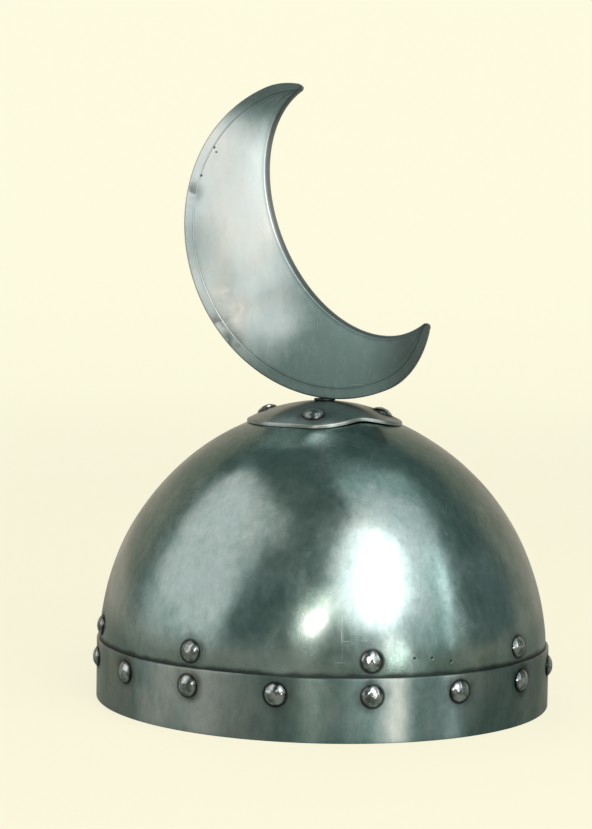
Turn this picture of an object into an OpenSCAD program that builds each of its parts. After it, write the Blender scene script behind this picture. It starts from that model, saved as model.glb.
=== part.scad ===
// A riveted steel cervelliere with a brow band, a lobed crown plate and a crescent crest.
// Millimetres. +Z is up, the origin is the centre of the rim, and the front is towards -Y.

/* [Skull] */
// Length of the skull from front to back
skull_l = 236.8; // [226:0.2:248]
// Width of the skull from side to side
skull_w = 213.0; // [200:0.2:226]
// Thickness of the skull's steel sheet
skull_t = 1.6; // [1.2:0.1:2.4]
// Height at which the upright wall turns into the dome
wall_h = 27.3; // [20:0.1:34]
// How much the radius of the dome's shoulder exceeds half the skull's length
shoulder_more = 10.6; // [8:0.2:22]
// Radius of the dome's crown, seen from the side
crown_r = 98.7; // [88:0.1:110]

/* [Brow band] */
// Height of the brow band
band_h = 31.5; // [26:0.5:40]
// Thickness of the brow band's steel
band_t = 1.5; // [1:0.1:2.5]
// Width of the butt seam between the band's two ends
seam_w = 0.6; // [0.2:0.1:2]

/* [Rivets] */
// Number of rivets round the band
band_rivets_n = 16; // [8:8:24]
// Height of the band rivets above the rim
band_rivet_z = 23.0; // [14:0.5:24]
// Height of the liner rivets above the rim
liner_rivet_z = 39.6; // [39:0.2:44]
// Diameter of a rivet head
rivet_head_d = 11.0; // [8:0.5:12]
// Height of a rivet head
rivet_head_h = 2.6; // [1.5:0.1:3.5]
// Diameter of a rivet shank
rivet_shank_d = 4.0; // [3:0.1:5]
// Diameter of a peened tail
rivet_tail_d = 7.0; // [5:0.5:8]
// Height of a peened tail
rivet_tail_h = 1.4; // [0.8:0.1:2]

/* [Crown plate] */
// Thickness of the crown plate
plate_t = 1.6; // [1:0.1:2.5]
// Distance from the middle of the plate to the tips of its front and side lobes
lobe_reach = 41.3; // [39:0.1:46]
// Radius of a lobe's round end
lobe_r = 23.0; // [21:0.5:27]
// Radius of the plate's plain rear half
rear_r = 41.0; // [39:0.1:45]
// How much the plate's middle stands off the skull
plate_lift = 1.7; // [1:0.1:2.5]
// Radius of the ring of crown rivets
crown_rivet_ring = 31.0; // [28:0.5:33]

/* [Crest] */
// Thickness of the hollow crescent
crescent_t = 10.0; // [9:0.5:14]
// Thickness of the crescent's pressed sheet
crescent_sheet = 1.0; // [0.8:0.1:1.5]
// Width of the sloping border round the crescent's outer edge
border_w = 5.5; // [4:0.5:7]
// Width of the border along the crescent's hollow edge
inner_border_w = 3.6; // [2:0.1:5]
// How far the border lies below the raised field
border_drop = 1.2; // [0.6:0.1:2]
// Radius of the horns' tips
tip_r = 2.0; // [1.6:0.1:3]
// Angle of the crescent's long axis below the horizontal
crescent_tilt = 67; // [50:1:75]
// Half length of the outer outline along the long axis
outer_a = 85.3; // [80:0.1:88]
// Depth of the outer outline behind its centre
outer_back = 74.8; // [70:0.2:78]
// Depth of the outer outline in front of its centre
outer_front = 49.8; // [47:0.2:54]
// Half length of the hollow outline along the long axis
inner_a = 69.5; // [67:0.5:72]
// Half depth of the hollow outline
inner_b = 45.2; // [43:0.1:47]
// How far the outer outline's centre lies behind the stem
outer_behind = 0.2; // [0:0.1:4]
// How far the hollow outline's centre lies in front of the outer one
hollow_ahead = 18.2; // [17:0.1:20]
// How far the hollow outline's centre lies above the outer one
hollow_above = 16.2; // [14:0.1:18]
// Daylight between the crown plate and the crescent
crest_gap = 0.8; // [0.6:0.1:6]
// Diameter of the stem's collar
collar_d = 11.3; // [10:0.1:14]
// Diameter of the stem's threaded shank
shank_d = 8.0; // [7:0.5:9]
// Length of the tang inside the crescent
tang_l = 20.0; // [12:1:26]
// Diameter of the tang inside the crescent
tang_d = 5.0; // [4:0.1:6]
// Width of the nuts across their flats
nut_af = 13.0; // [12:0.5:15]
// Thickness of the nut
nut_h = 6.5; // [5:0.5:8]
// Thickness of the locknut
locknut_h = 4.0; // [3:0.5:5]
// Diameter of the washer under the nut
crest_washer_d = 24.0; // [20:1:30]
// Thickness of the washer under the nut
crest_washer_t = 1.6; // [1:0.1:2.5]

/* [Liner] */
// Thickness of the leather
leather_t = 2.2; // [1.6:0.1:2.8]
// Height of the liner band
liner_band_h = 21.0; // [18:0.5:22]
// Height of the liner band's lower edge above the rim
liner_band_z = 29.5; // [29:0.1:31]
// How much tighter the tongues' shoulder is than the skull's
tongue_curl = 34.0; // [30:1:38]
// Height angle where the tongues leave the skull's curve
tongue_leave = 12; // [11:0.5:14]
// Clearance between the stem's lower end and the tongues' crown
tongue_drop = 3.2; // [2.5:0.1:6]
// Angle that a tongue covers at its foot
tongue_angle = 39; // [30:1:42]
// Radius of the open space between the tongue tips
tongue_tip_r = 14.0; // [10:0.5:16]
// Height of the tongues' lower ends above the rim
tongue_foot_z = 32.0; // [31:0.5:34]
// Radius of the crown disc
disc_r = 27.0; // [25:0.5:30]
// Radius of the ring of rivets in the crown disc
disc_ring = 20.5; // [19:0.5:22]
// Diameter of the small rivets' heads
small_head_d = 7.0; // [5:0.5:8]
// Diameter of the small rivets' shanks
small_shank_d = 2.6; // [2:0.1:3]
// Diameter of the liner washers
liner_washer_d = 10.0; // [8.5:0.5:12]
// Thickness of the liner washers
liner_washer_t = 1.0; // [0.6:0.1:1.5]

/* [Fits] */
// Gap between curved sheets that lie on each other
lay_gap = 0.1; // [0.05:0.01:0.2]
// Radial clearance of a rivet in its hole
rivet_play = 0.1; // [0.05:0.01:0.2]
// Slack of a crown rivet between its tail and the skull
crown_rivet_slack = 0.28; // [0.2:0.01:0.35]
// Radial running clearance of the stem in its bore
stem_play = 0.05; // [0.02:0.01:0.1]
// End play of the stem between its collar and its nut
stem_end_play = 0.15; // [0.05:0.01:0.3]

/* [Hidden] */
$fn = 96;

half_l = skull_l / 2;
half_w = skull_w / 2;
big = 2 * skull_l;
liners_n = band_rivets_n / 2;

// The dome's profile: a wall, a shoulder arc and a crown arc centred on the axis.
// Both arcs are tangent where they meet, at the height angle dome_join.
shoulder_r = half_l + shoulder_more;
shoulder_x = -shoulder_more;
dome_join = acos(shoulder_more / (shoulder_r - crown_r));
crown_z = wall_h + (shoulder_r - crown_r) * sin(dome_join);

// How far the tongues' outer face lies inside the skull's, where they follow it.
tongue_inset = skull_t + leather_t + 2 * lay_gap;

// How much narrower than long an oval is whose outline lies inset inside the skull's.
function oval(inset) = (half_w - inset) / (half_l - inset);

// Reach of the skull's profile, inset inwards, at a height z.
function reach(z, inset) =
    z < wall_h ? half_l - inset
    : shoulder_x + sqrt(pow(shoulder_r - inset, 2) - pow(z - wall_h, 2));

// Centre of the arc, [0, height] or [shoulder_x, wall_h], that the profile follows at a reach r.
function arc_centre(r, inset) =
    r > (crown_r - inset) * cos(dome_join) ? [shoulder_x, wall_h] : [0, crown_z];

// Height of the skull's profile, inset inwards, at a reach r near the crown.
function crown_height(r, inset) =
    let (c = arc_centre(r, inset), arc_r = (c.x == 0 ? crown_r : shoulder_r) - inset)
    c.y + sqrt(pow(arc_r, 2) - pow(r - c.x, 2));

// Height of the tongues' profile, inset inwards, at a reach r near their crown.
function tongue_height(r, inset) = tongue_z2 + sqrt(pow(tongue_crown_r - inset, 2) - r * r);

// A point on the skull's wall at eccentric angle a, counted from the front, and height z.
function wall_point(a, z, inset) =
    let (r = reach(z, inset))
    [r * oval(inset) * sin(a), -r * cos(a), z];

// The wall's outward normal at the same place.
function wall_normal(a, z, inset) =
    let (rise = z < wall_h ? 0 : asin((z - wall_h) / (shoulder_r - inset)))
    unit([cos(rise) * sin(a) / oval(inset), -cos(rise) * cos(a), sin(rise)]);

function unit(v) = v / norm(v);

// Stands its children on point p, with their +Z along the direction n.
module stand_on(p, n) {
    translate(p)
        rotate([0, atan2(norm([n.x, n.y]), n.z), atan2(n.y, n.x)])
            children();
}

// The skull's half profile, inset inwards: everything under the dome's curve, down to -below.
module skull_profile(inset, below) {
    join_z = wall_h + (shoulder_r - inset) * sin(dome_join);
    translate([0, -below])
        square([half_l - inset, wall_h + below]);
    intersection() {
        translate([shoulder_x, wall_h])
            circle(r = shoulder_r - inset);
        square([big, join_z]);
    }
    intersection() {
        translate([0, crown_z])
            circle(r = crown_r - inset);
        square(big);
    }
}

// A full turn of a half profile, made in quarters that join into one solid.
module turned() {
    for (a = [0 : 90 : 270])
        rotate(a)
            rotate_extrude(angle = 90)
                children();
}

// The skull as a solid dome, inset inwards and oval in plan.
module skull_dome(inset, below = 0) {
    scale([oval(inset), 1, 1])
        turned()
            skull_profile(inset, below);
}

// The tongues' half profile, set in by depth from the side that faces the skull.
module tongue_profile(depth) {
    leave_z = wall_h + (tongue_r0 - depth) * sin(tongue_leave);
    turn_z = tongue_z1 + (tongue_shoulder_r - depth) * sin(tongue_turn);
    square([half_l - tongue_inset - depth, wall_h]);
    intersection() {
        translate([shoulder_x, wall_h])
            circle(r = tongue_r0 - depth);
        square([big, leave_z]);
    }
    intersection() {
        translate([tongue_x1, tongue_z1])
            circle(r = tongue_shoulder_r - depth);
        square(big);
    }
    intersection() {
        translate([0, tongue_z2])
            circle(r = tongue_crown_r - depth);
        translate([0, turn_z])
            square(big);
    }
}

// The tongues' curve as a solid dome.
module tongue_dome(depth) {
    scale([oval(tongue_inset), 1, 1])
        turned()
            tongue_profile(depth);
}

// The leather of one tongue without its holes, between two eccentric angles.
module tongue_sheet(from_a, to_a) {
    scale([oval(tongue_inset), 1, 1])
        rotate(from_a - 90)
            rotate_extrude(angle = to_a - from_a)
                intersection() {
                    difference() {
                        tongue_profile(0);
                        tongue_profile(leather_t);
                    }
                    translate([tongue_tip_r, tongue_foot_z])
                        square([half_l, big]);
                }
}

// A low dome of diameter d and height h, flat side down.
module low_dome(d, h) {
    ball_r = (d * d / 4 + h * h) / (2 * h);
    rotate_extrude()
        intersection() {
            translate([0, h - ball_r])
                circle(r = ball_r);
            square([d, h]);
        }
}

// A set rivet, its head's underside at z = 0, holding a stack of the given thickness.
module rivet(stack, head_d, head_h, shank, tail_d, tail_h) {
    low_dome(head_d, head_h);
    translate([0, 0, -stack])
        cylinder(d = shank, h = stack);
    translate([0, 0, -stack])
        mirror([0, 0, 1])
            low_dome(tail_d, tail_h);
}

// The hole for a rivet, along Z and through anything near z = 0.
module rivet_hole(shank, depth) {
    translate([0, 0, -depth])
        cylinder(d = shank + 2 * rivet_play, h = 2 * depth);
}

// Eccentric angle of band rivet i and of liner rivet i.
function band_angle(i) = i * 360 / band_rivets_n;
function liner_angle(i) = (i + 0.5) * 360 / liners_n;

module at_band_rivets() {
    for (i = [0 : band_rivets_n - 1])
        stand_on(wall_point(band_angle(i), band_rivet_z, band_out), wall_normal(band_angle(i), 0, 0))
            children();
}

module at_liner_rivets(inset) {
    for (i = [0 : liners_n - 1])
        stand_on(wall_point(liner_angle(i), liner_rivet_z, inset),
                 wall_normal(liner_angle(i), liner_rivet_z, inset))
            children();
}

// The crown rivets stand square on the crown plate.
module at_crown_rivets() {
    for (a = [0 : 90 : 270]) {
        x = crown_rivet_ring * oval(0) * sin(a);
        y = -crown_rivet_ring * cos(a);
        z = plate_height(crown_rivet_ring, plate_t);
        stand_on([x, y, z], unit([x / pow(oval(0), 2), y, z - plate_c]))
            children();
    }
}

// Where the band's outer face lies, as an inset from the skull's outer face.
band_out = -(band_t + lay_gap);
hole_depth = 12;

// The crown plate is a dome of its own, a little rounder than the skull: its rim lies on the
// skull and its middle stands plate_lift off it. Its centre of curvature is at height plate_c.
plate_rim = max(lobe_reach, rear_r);
plate_bottom = crown_height(0, -lay_gap) + plate_lift;
plate_top = plate_bottom + plate_t;
plate_sag = plate_bottom - crown_height(plate_rim, -lay_gap);
plate_r = (pow(plate_rim, 2) + pow(plate_sag, 2)) / (2 * plate_sag);
plate_c = plate_bottom - plate_r;

// Height of the plate's underside, grown outwards by more, at a reach r.
function plate_height(r, more) = plate_c + sqrt(pow(plate_r + more, 2) - r * r);

module skull() {
    color([0.42, 0.45, 0.45])
        difference() {
            skull_dome(0);
            skull_dome(skull_t, 1);
            at_band_rivets()
                rivet_hole(rivet_shank_d, hole_depth);
            at_liner_rivets(0)
                rivet_hole(rivet_shank_d, hole_depth);
            at_crown_rivets()
                rivet_hole(rivet_shank_d, hole_depth);
            translate([0, 0, crown_height(0, 0) - hole_depth])
                cylinder(r = shank_d / 2 + stem_play, h = 2 * hole_depth);
        }
}

module brow_band() {
    seam_a = 180 + 180 / band_rivets_n;
    color([0.44, 0.47, 0.47])
        difference() {
            intersection() {
                skull_dome(band_out);
                cylinder(r = big, h = band_h);
            }
            skull_dome(-lay_gap, 1);
            at_band_rivets()
                rivet_hole(rivet_shank_d, hole_depth);
            stand_on(wall_point(seam_a, band_h / 2, 0), wall_normal(seam_a, 0, 0))
                cube([band_h + 2, seam_w, hole_depth], center = true);
        }
}

module band_rivets() {
    stack = band_t + skull_t + 2 * lay_gap;
    color([0.72, 0.74, 0.73])
        at_band_rivets()
            rivet(stack, rivet_head_d, rivet_head_h, rivet_shank_d, rivet_tail_d, rivet_tail_h);
}

module liner_rivets() {
    color([0.72, 0.74, 0.73])
        at_liner_rivets(0)
            rivet(liner_stack, rivet_head_d, rivet_head_h, rivet_shank_d, rivet_tail_d, rivet_tail_h);
}

// What a liner rivet holds: the skull, the liner band, a tongue's foot and a washer.
sag = 0.25;
washer_top = tongue_inset + leather_t + sag;
liner_stack = washer_top + liner_washer_t + lay_gap;

module liner_washers() {
    color([0.62, 0.62, 0.60])
        at_liner_rivets(0)
            translate([0, 0, -washer_top - liner_washer_t])
                difference() {
                    cylinder(d = liner_washer_d, h = liner_washer_t);
                    rivet_hole(rivet_shank_d, hole_depth);
                }
}

// The plate's outline: three lobes to the front and the sides, and a plain round rear half.
module plate_outline() {
    scale([oval(0), 1]) {
        for (a = [90 : 90 : 270])
            rotate(a)
                translate([0, lobe_reach - lobe_r])
                    circle(r = lobe_r);
        intersection() {
            circle(r = rear_r);
            translate([-big, 0])
                square(2 * big);
        }
    }
}

// The plate's underside as a solid dome, grown outwards by more.
module plate_dome(more) {
    translate([0, 0, plate_c])
        scale([oval(0), 1, 1])
            turned()
                intersection() {
                    circle(r = plate_r + more);
                    square(big);
                }
}

module crown_plate() {
    color([0.42, 0.44, 0.42])
        difference() {
            intersection() {
                plate_dome(plate_t);
                translate([0, 0, wall_h + skull_t])
                    linear_extrude(big)
                        plate_outline();
            }
            plate_dome(0);
            at_crown_rivets()
                rivet_hole(rivet_shank_d, hole_depth);
            translate([0, 0, crown_height(0, 0) - hole_depth])
                cylinder(r = shank_d / 2 + stem_play, h = 2 * hole_depth);
        }
}

module crown_rivets() {
    stand_off = plate_height(crown_rivet_ring, 0) - crown_height(crown_rivet_ring, 0);
    stack = plate_t + skull_t + stand_off + crown_rivet_slack;
    color([0.72, 0.74, 0.73])
        at_crown_rivets()
            rivet(stack, rivet_head_d, rivet_head_h, rivet_shank_d, rivet_tail_d, rivet_tail_h);
}

// The crest. Its outlines are drawn with x towards the front and y up.
crescent_bottom = plate_top + crest_gap;

// How far an ellipse with half axes a and b, whose first axis tilts down by tilt, hangs below its centre.
function hang(a, b, tilt) = norm([a * sin(tilt), b * cos(tilt)]);
outer_z = crescent_bottom + hang(outer_a, outer_back, crescent_tilt);
outer_c = [-outer_behind, outer_z];
inner_c = outer_c + [hollow_ahead, hollow_above];

module ellipse(a, b) {
    scale([1, b / a])
        circle(r = a);
}

// The outer outline, shrunk by inset: two half ellipses on one long axis.
module outer_outline(inset) {
    translate(outer_c)
        rotate(-crescent_tilt) {
            intersection() {
                ellipse(outer_a - inset, outer_back - inset);
                translate([-big, -2 * big])
                    square(2 * big);
            }
            intersection() {
                ellipse(outer_a - inset, outer_front - inset);
                translate([-big, 0])
                    square(2 * big);
            }
        }
}

// The hollow side's outline, grown by inset.
module hollow_outline(inset) {
    translate(inner_c)
        rotate(-crescent_tilt)
            ellipse(inner_a + inset, inner_b + inset);
}

// A horn's tip is centred where the outer outline shrunk by tip_r meets the hollow one grown by tip_r.
function outer_at(a, inset) =
    let (b = sin(a) < 0 ? outer_back - inset : outer_front - inset)
    outer_c + turn([(outer_a - inset) * cos(a), b * sin(a)], -crescent_tilt);
function turn(v, a) = [v.x * cos(a) - v.y * sin(a), v.x * sin(a) + v.y * cos(a)];
function in_hollow(p, inset) =
    let (q = turn(p - inner_c, crescent_tilt))
    norm([q.x / (inner_a + inset), q.y / (inner_b + inset)]) < 1;
function meet(out_a, in_a, steps = 24) =
    let (mid = (out_a + in_a) / 2)
    steps == 0 ? mid
    : in_hollow(outer_at(mid, tip_r), tip_r) ? meet(out_a, mid, steps - 1) : meet(mid, in_a, steps - 1);
low_tip_a = meet(-90, 90);
high_tip_a = meet(270, 90);
low_tip = outer_at(low_tip_a, tip_r);
high_tip = outer_at(high_tip_a, tip_r);

// Everything beyond a tip's centre, across the horn.
module beyond(tip, a, way) {
    ahead = outer_at(a + way, tip_r) - outer_at(a, tip_r);
    translate(tip)
        rotate(atan2(ahead.y, ahead.x))
            translate([0, -3 * tip_r])
                square(6 * tip_r);
}

module crescent_outline(inset, hollow_inset) {
    difference() {
        outer_outline(inset);
        hollow_outline(hollow_inset);
        beyond(low_tip, low_tip_a, 1);
        beyond(high_tip, high_tip_a, -1);
    }
}

module tips(r) {
    translate(low_tip)
        circle(r = r);
    translate(high_tip)
        circle(r = r);
}

// Sets an outline upright in the helmet's middle plane and gives it the depth from x1 to x2.
module upright(x1, x2) {
    translate([x1, 0, 0])
        rotate([90, 0, -90])
            mirror([0, 0, 1])
                linear_extrude(x2 - x1)
                    children();
}

// The half of the crescent on the -X side: a pressed tray, open towards the middle plane.
module crescent_half() {
    outer_x = -crescent_t / 2;
    difference() {
        union() {
            upright(outer_x + border_drop, 0) {
                crescent_outline(0, 0);
                tips(tip_r);
            }
            upright(outer_x, outer_x + border_drop + 0.5)
                crescent_outline(border_w, inner_border_w);
        }
        upright(outer_x + border_drop + crescent_sheet, 1)
            crescent_outline(crescent_sheet, crescent_sheet);
        upright(outer_x + crescent_sheet, 0)
            crescent_outline(border_w + crescent_sheet, inner_border_w + crescent_sheet);
        translate([0, 0, plate_top])
            cylinder(d = tang_d + 2 * rivet_play, h = tang_l);
    }
}

module crescent_right() {
    color([0.62, 0.70, 0.71])
        crescent_half();
}

module crescent_left() {
    color([0.62, 0.70, 0.71])
        mirror([1, 0, 0])
            crescent_half();
}

collar_top = crescent_bottom - lay_gap;
collar_bottom = plate_top + stem_end_play;
washer_z = crown_height(crest_washer_d / 2 / oval(skull_t), skull_t) - lay_gap - crest_washer_t;
nut_z = washer_z - stem_end_play - nut_h;
locknut_z = nut_z - locknut_h;
stem_end = locknut_z - 1;

// The tongues' profile follows the skull at first, then a tighter shoulder, and last a crown arc
// that is centred on the axis and passes tongue_drop below the stem's end.
tongue_r0 = shoulder_r - tongue_inset;
tongue_shoulder_r = shoulder_r - tongue_curl;
tongue_x1 = shoulder_x + (tongue_r0 - tongue_shoulder_r) * cos(tongue_leave);
tongue_z1 = wall_h + (tongue_r0 - tongue_shoulder_r) * sin(tongue_leave);
tongue_top = stem_end - tongue_drop;
tongue_turn = 90 - 2 * atan((tongue_top - tongue_z1 - tongue_shoulder_r) / tongue_x1);
tongue_crown_r = tongue_shoulder_r + tongue_x1 / cos(tongue_turn);
tongue_z2 = tongue_top - tongue_crown_r;

module crest_stem() {
    color([0.13, 0.14, 0.14]) {
        translate([0, 0, stem_end])
            cylinder(d = shank_d, h = collar_bottom - stem_end);
        translate([0, 0, collar_bottom])
            cylinder(d = collar_d, h = collar_top - collar_bottom);
        translate([0, 0, collar_top])
            cylinder(d = tang_d, h = tang_l - 1);
    }
}

module crest_washer() {
    color([0.60, 0.61, 0.60])
        translate([0, 0, washer_z])
            difference() {
                cylinder(d = crest_washer_d, h = crest_washer_t);
                translate([0, 0, -1])
                    cylinder(r = shank_d / 2 + stem_play, h = crest_washer_t + 2);
            }
}

module hex_nut(z, h) {
    translate([0, 0, z])
        difference() {
            cylinder(d = nut_af / cos(30), h = h, $fn = 6);
            translate([0, 0, -1])
                cylinder(r = shank_d / 2 + stem_play, h = h + 2);
        }
}

module crest_nut() {
    color([0.58, 0.59, 0.58])
        hex_nut(nut_z, nut_h);
}

module crest_locknut() {
    color([0.58, 0.59, 0.58])
        hex_nut(locknut_z, locknut_h - lay_gap);
}

module liner_band() {
    color([0.36, 0.23, 0.13])
        difference() {
            intersection() {
                skull_dome(skull_t + lay_gap);
                translate([0, 0, liner_band_z])
                    cylinder(r = big, h = liner_band_h);
            }
            skull_dome(skull_t + lay_gap + leather_t);
            at_liner_rivets(0)
                rivet_hole(rivet_shank_d, hole_depth);
        }
}

// One of the tongues, centred on liner rivet i.
module liner_tongue(i) {
    a = liner_angle(i);
    half = tongue_angle / 2;
    color([0.42, 0.28, 0.16])
        difference() {
            tongue_sheet(a - half, a + half);
            at_liner_rivets(0)
                rivet_hole(rivet_shank_d, hole_depth);
            at_disc_rivets()
                rivet_hole(small_shank_d, hole_depth);
        }
}

// Where the small rivets stand: on the tongues' upper side, one near each tip.
module at_disc_rivets() {
    k = oval(tongue_inset);
    for (i = [0 : liners_n - 1]) {
        a = liner_angle(i);
        x = disc_ring * k * sin(a);
        y = -disc_ring * cos(a);
        z = tongue_height(disc_ring, 0);
        stand_on([x, y, z], unit([x / (k * k), y, z - tongue_z2]))
            children();
    }
}

module liner_crown_disc() {
    color([0.33, 0.21, 0.12])
        difference() {
            intersection() {
                tongue_dome(leather_t + lay_gap);
                translate([0, 0, tongue_foot_z])
                    cylinder(r = disc_r, h = big);
            }
            tongue_dome(2 * leather_t + lay_gap);
            at_disc_rivets()
                rivet_hole(small_shank_d, hole_depth);
        }
}

module liner_crown_rivets() {
    stack = 2 * (leather_t + lay_gap) + lay_gap;
    color([0.60, 0.52, 0.34])
        at_disc_rivets()
            rivet(stack, small_head_d, rivet_tail_h, small_shank_d, small_head_d, rivet_tail_h);
}

skull();
brow_band();
band_rivets();
liner_rivets();
liner_washers();
crown_plate();
crown_rivets();
crescent_right();
crescent_left();
crest_stem();
crest_washer();
crest_nut();
crest_locknut();
liner_band();
liner_tongue(0);  // liner_tongue_1
liner_tongue(1);  // liner_tongue_2
liner_tongue(2);  // liner_tongue_3
liner_tongue(3);  // liner_tongue_4
liner_tongue(4);  // liner_tongue_5
liner_tongue(5);  // liner_tongue_6
liner_tongue(6);  // liner_tongue_7
liner_tongue(7);  // liner_tongue_8
liner_crown_disc();
liner_crown_rivets();
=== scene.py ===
# %% [markdown]
# # A riveted cervelliere with a crescent crest
# The helmet is a plain steel cap, oval in plan. A band is riveted round its rim, a lobed plate
# sits on its crown, and a hollow crescent stands on a short stem that a nut holds from inside.
# A leather liner hangs from eight of the rivets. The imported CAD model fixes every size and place,
# so this lesson first loads it, and then dresses each part with a finer surface and a finish.

import bmesh
import bpy
import numpy as np
from mathutils import Matrix, Vector


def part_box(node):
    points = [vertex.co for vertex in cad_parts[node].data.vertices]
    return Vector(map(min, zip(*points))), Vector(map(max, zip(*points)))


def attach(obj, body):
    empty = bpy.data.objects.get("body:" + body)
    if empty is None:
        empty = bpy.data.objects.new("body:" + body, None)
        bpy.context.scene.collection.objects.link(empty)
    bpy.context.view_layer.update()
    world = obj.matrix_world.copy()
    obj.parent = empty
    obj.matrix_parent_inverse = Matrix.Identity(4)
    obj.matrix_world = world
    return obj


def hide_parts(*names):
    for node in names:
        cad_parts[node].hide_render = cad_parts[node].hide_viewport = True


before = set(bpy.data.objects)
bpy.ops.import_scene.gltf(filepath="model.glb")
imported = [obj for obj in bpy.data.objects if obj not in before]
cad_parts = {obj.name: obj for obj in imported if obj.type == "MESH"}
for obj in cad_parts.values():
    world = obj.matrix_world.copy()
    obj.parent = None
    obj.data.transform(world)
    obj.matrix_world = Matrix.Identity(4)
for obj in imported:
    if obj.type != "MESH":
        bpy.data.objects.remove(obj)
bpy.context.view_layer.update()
MM = 0.001
TAU = 2 * np.pi


# %% [markdown]
# ## Three small tools
# Every new piece here is a grid of points: rows along one parameter and columns along another.
# Such a grid can be bent into a tube, a dome or a strip, and numpy works all its points out at
# once. The first tool numbers the grid's quads, the second turns faces outwards, and the third
# makes a mesh object that rides on the right body. Poles are rows that shrink to one point, so
# merging points that coincide closes them.

# %% Grids and pieces
CLOSED = (True, True)
ROWS_CLOSED = (True, False)
COLUMNS_CLOSED = (False, True)


def grid_faces(shape, close_rows=False, close_columns=False):
    """Quads between neighbours: point (i, j) of each grid has the number i * columns + j."""
    rows, columns = shape[-2:]
    i = np.arange(rows if close_rows else rows - 1)
    j = np.arange(columns if close_columns else columns - 1)
    i, j = np.meshgrid(i, j, indexing="ij")
    i_next = (i + 1) % rows
    j_next = (j + 1) % columns
    row, row_next = i * columns, i_next * columns
    corners = [row + j, row + j_next, row_next + j_next, row_next + j]
    first = np.arange(np.prod(shape[:-2], dtype=int)) * rows * columns
    return (np.stack(corners, -1).reshape(-1, 4) + first[:, None, None]).reshape(-1, 4)


def outward(points, faces):
    """The faces, reversed where the volume that they enclose comes out negative."""
    a, b, c, d = (points[faces[:, k]] for k in range(4))
    volume = np.einsum("ij,ij->i", a, np.cross(b, c)) + np.einsum("ij,ij->i", a, np.cross(c, d))
    return faces if volume.sum() > 0 else faces[:, ::-1]


def make_piece(name, grid, body, node="", closed=CLOSED, notes=None, crisp=40):
    """A smooth-shaded piece from one grid of points or many; notes are numbers kept per point."""
    points = grid.reshape(-1, 3)
    faces = outward(points, grid_faces(grid.shape[:-1], *closed))
    mesh = bpy.data.meshes.new(name)
    mesh.from_pydata(points.tolist(), [], faces.tolist())
    for key, values in (notes or {}).items():
        mesh.attributes.new(key, "FLOAT", "POINT").data.foreach_set("value", np.ravel(values))
    work = bmesh.new()
    work.from_mesh(mesh)
    bmesh.ops.remove_doubles(work, verts=work.verts, dist=1e-6)
    work.to_mesh(mesh)
    work.free()
    mesh.polygons.foreach_set("use_smooth", np.ones(len(mesh.polygons), bool))
    mesh.set_sharp_from_angle(angle=np.radians(crisp))
    piece = bpy.data.objects.new(name, mesh)
    bpy.context.scene.collection.objects.link(piece)
    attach(piece, body)
    if node:
        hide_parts(node)
    print(f"{name}: {len(mesh.vertices)} points, {len(mesh.polygons)} faces")
    return piece


# %% [markdown]
# ## The helmet's curve
# Skull, band, plate and liner all follow one curve. Seen from the side it is an upright wall, then
# a shoulder arc, then a flatter crown arc, each tangent to the next. In plan it is an oval, so each
# point is pushed in sideways by the ratio of width to length. Length and width are read from the
# CAD model. The wall's height and the two arcs' radii are written here, and the crown's height that
# follows from them is printed beside the CAD model's, as a check.

# %% Driving sizes of the curve
skull_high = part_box("skull")[1]
HALF_L = skull_high.y
HALF_W = skull_high.x
WALL_H = 27.3 * MM
SHOULDER_MORE = 10.6 * MM
CROWN_R = 98.7 * MM
SHEET = 1.6 * MM
LAY_GAP = 0.1 * MM
STEM_HOLE_R = 4.05 * MM

SHOULDER_R = HALF_L + SHOULDER_MORE
JOIN = np.arccos(SHOULDER_MORE / (SHOULDER_R - CROWN_R))
CROWN_Z = WALL_H + (SHOULDER_R - CROWN_R) * np.sin(JOIN)
print(f"crown at {(CROWN_Z + CROWN_R) / MM:.1f} mm, CAD {skull_high.z / MM:.1f} mm")


# %% Points on the curve
def oval(inset):
    """Width over length of the oval that lies inset inside the skull's outer face."""
    return (HALF_W - inset) / (HALF_L - inset)


def reach_at(z, inset):
    """How far from the axis the profile is at height z, on its wall and shoulder."""
    rise = np.maximum(z - WALL_H, 0)
    return np.sqrt((SHOULDER_R - inset) ** 2 - rise ** 2) - SHOULDER_MORE


def around(a, reach, z, inset):
    """Space points at eccentric angle a from the front (-Y), for a reach and a height."""
    return np.stack(np.broadcast_arrays(reach * oval(inset) * np.sin(a), -reach * np.cos(a), z), -1)


def crown_height(reach, inset):
    """Height of the curve over a reach near the crown: the shoulder arc's or the crown arc's."""
    shoulder = WALL_H + np.sqrt((SHOULDER_R - inset) ** 2 - (reach + SHOULDER_MORE) ** 2)
    crown = CROWN_Z + np.sqrt((CROWN_R - inset) ** 2 - reach ** 2)
    return np.where(reach > (CROWN_R - inset) * np.cos(JOIN), shoulder, crown)


def dome_profile(inset, foot, inner_r, wall_steps, shoulder_steps, crown_steps):
    """(reach, height) from a foot height up the wall, the shoulder and the crown to a radius."""
    r_shoulder = SHOULDER_R - inset
    r_crown = CROWN_R - inset
    turn = np.linspace(0, JOIN, shoulder_steps, endpoint=False)
    top = np.linspace(JOIN, np.arccos(inner_r / r_crown), crown_steps)
    wall = np.linspace(foot, WALL_H, wall_steps, endpoint=False)
    reach = [np.full(wall_steps, HALF_L - inset), r_shoulder * np.cos(turn) - SHOULDER_MORE,
             r_crown * np.cos(top)]
    height = [wall, WALL_H + r_shoulder * np.sin(turn), CROWN_Z + r_crown * np.sin(top)]
    return np.concatenate(reach)[:, None], np.concatenate(height)[:, None]


print(f"width over length: {oval(0):.4f} outside, {oval(SHEET):.4f} inside the sheet")


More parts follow.
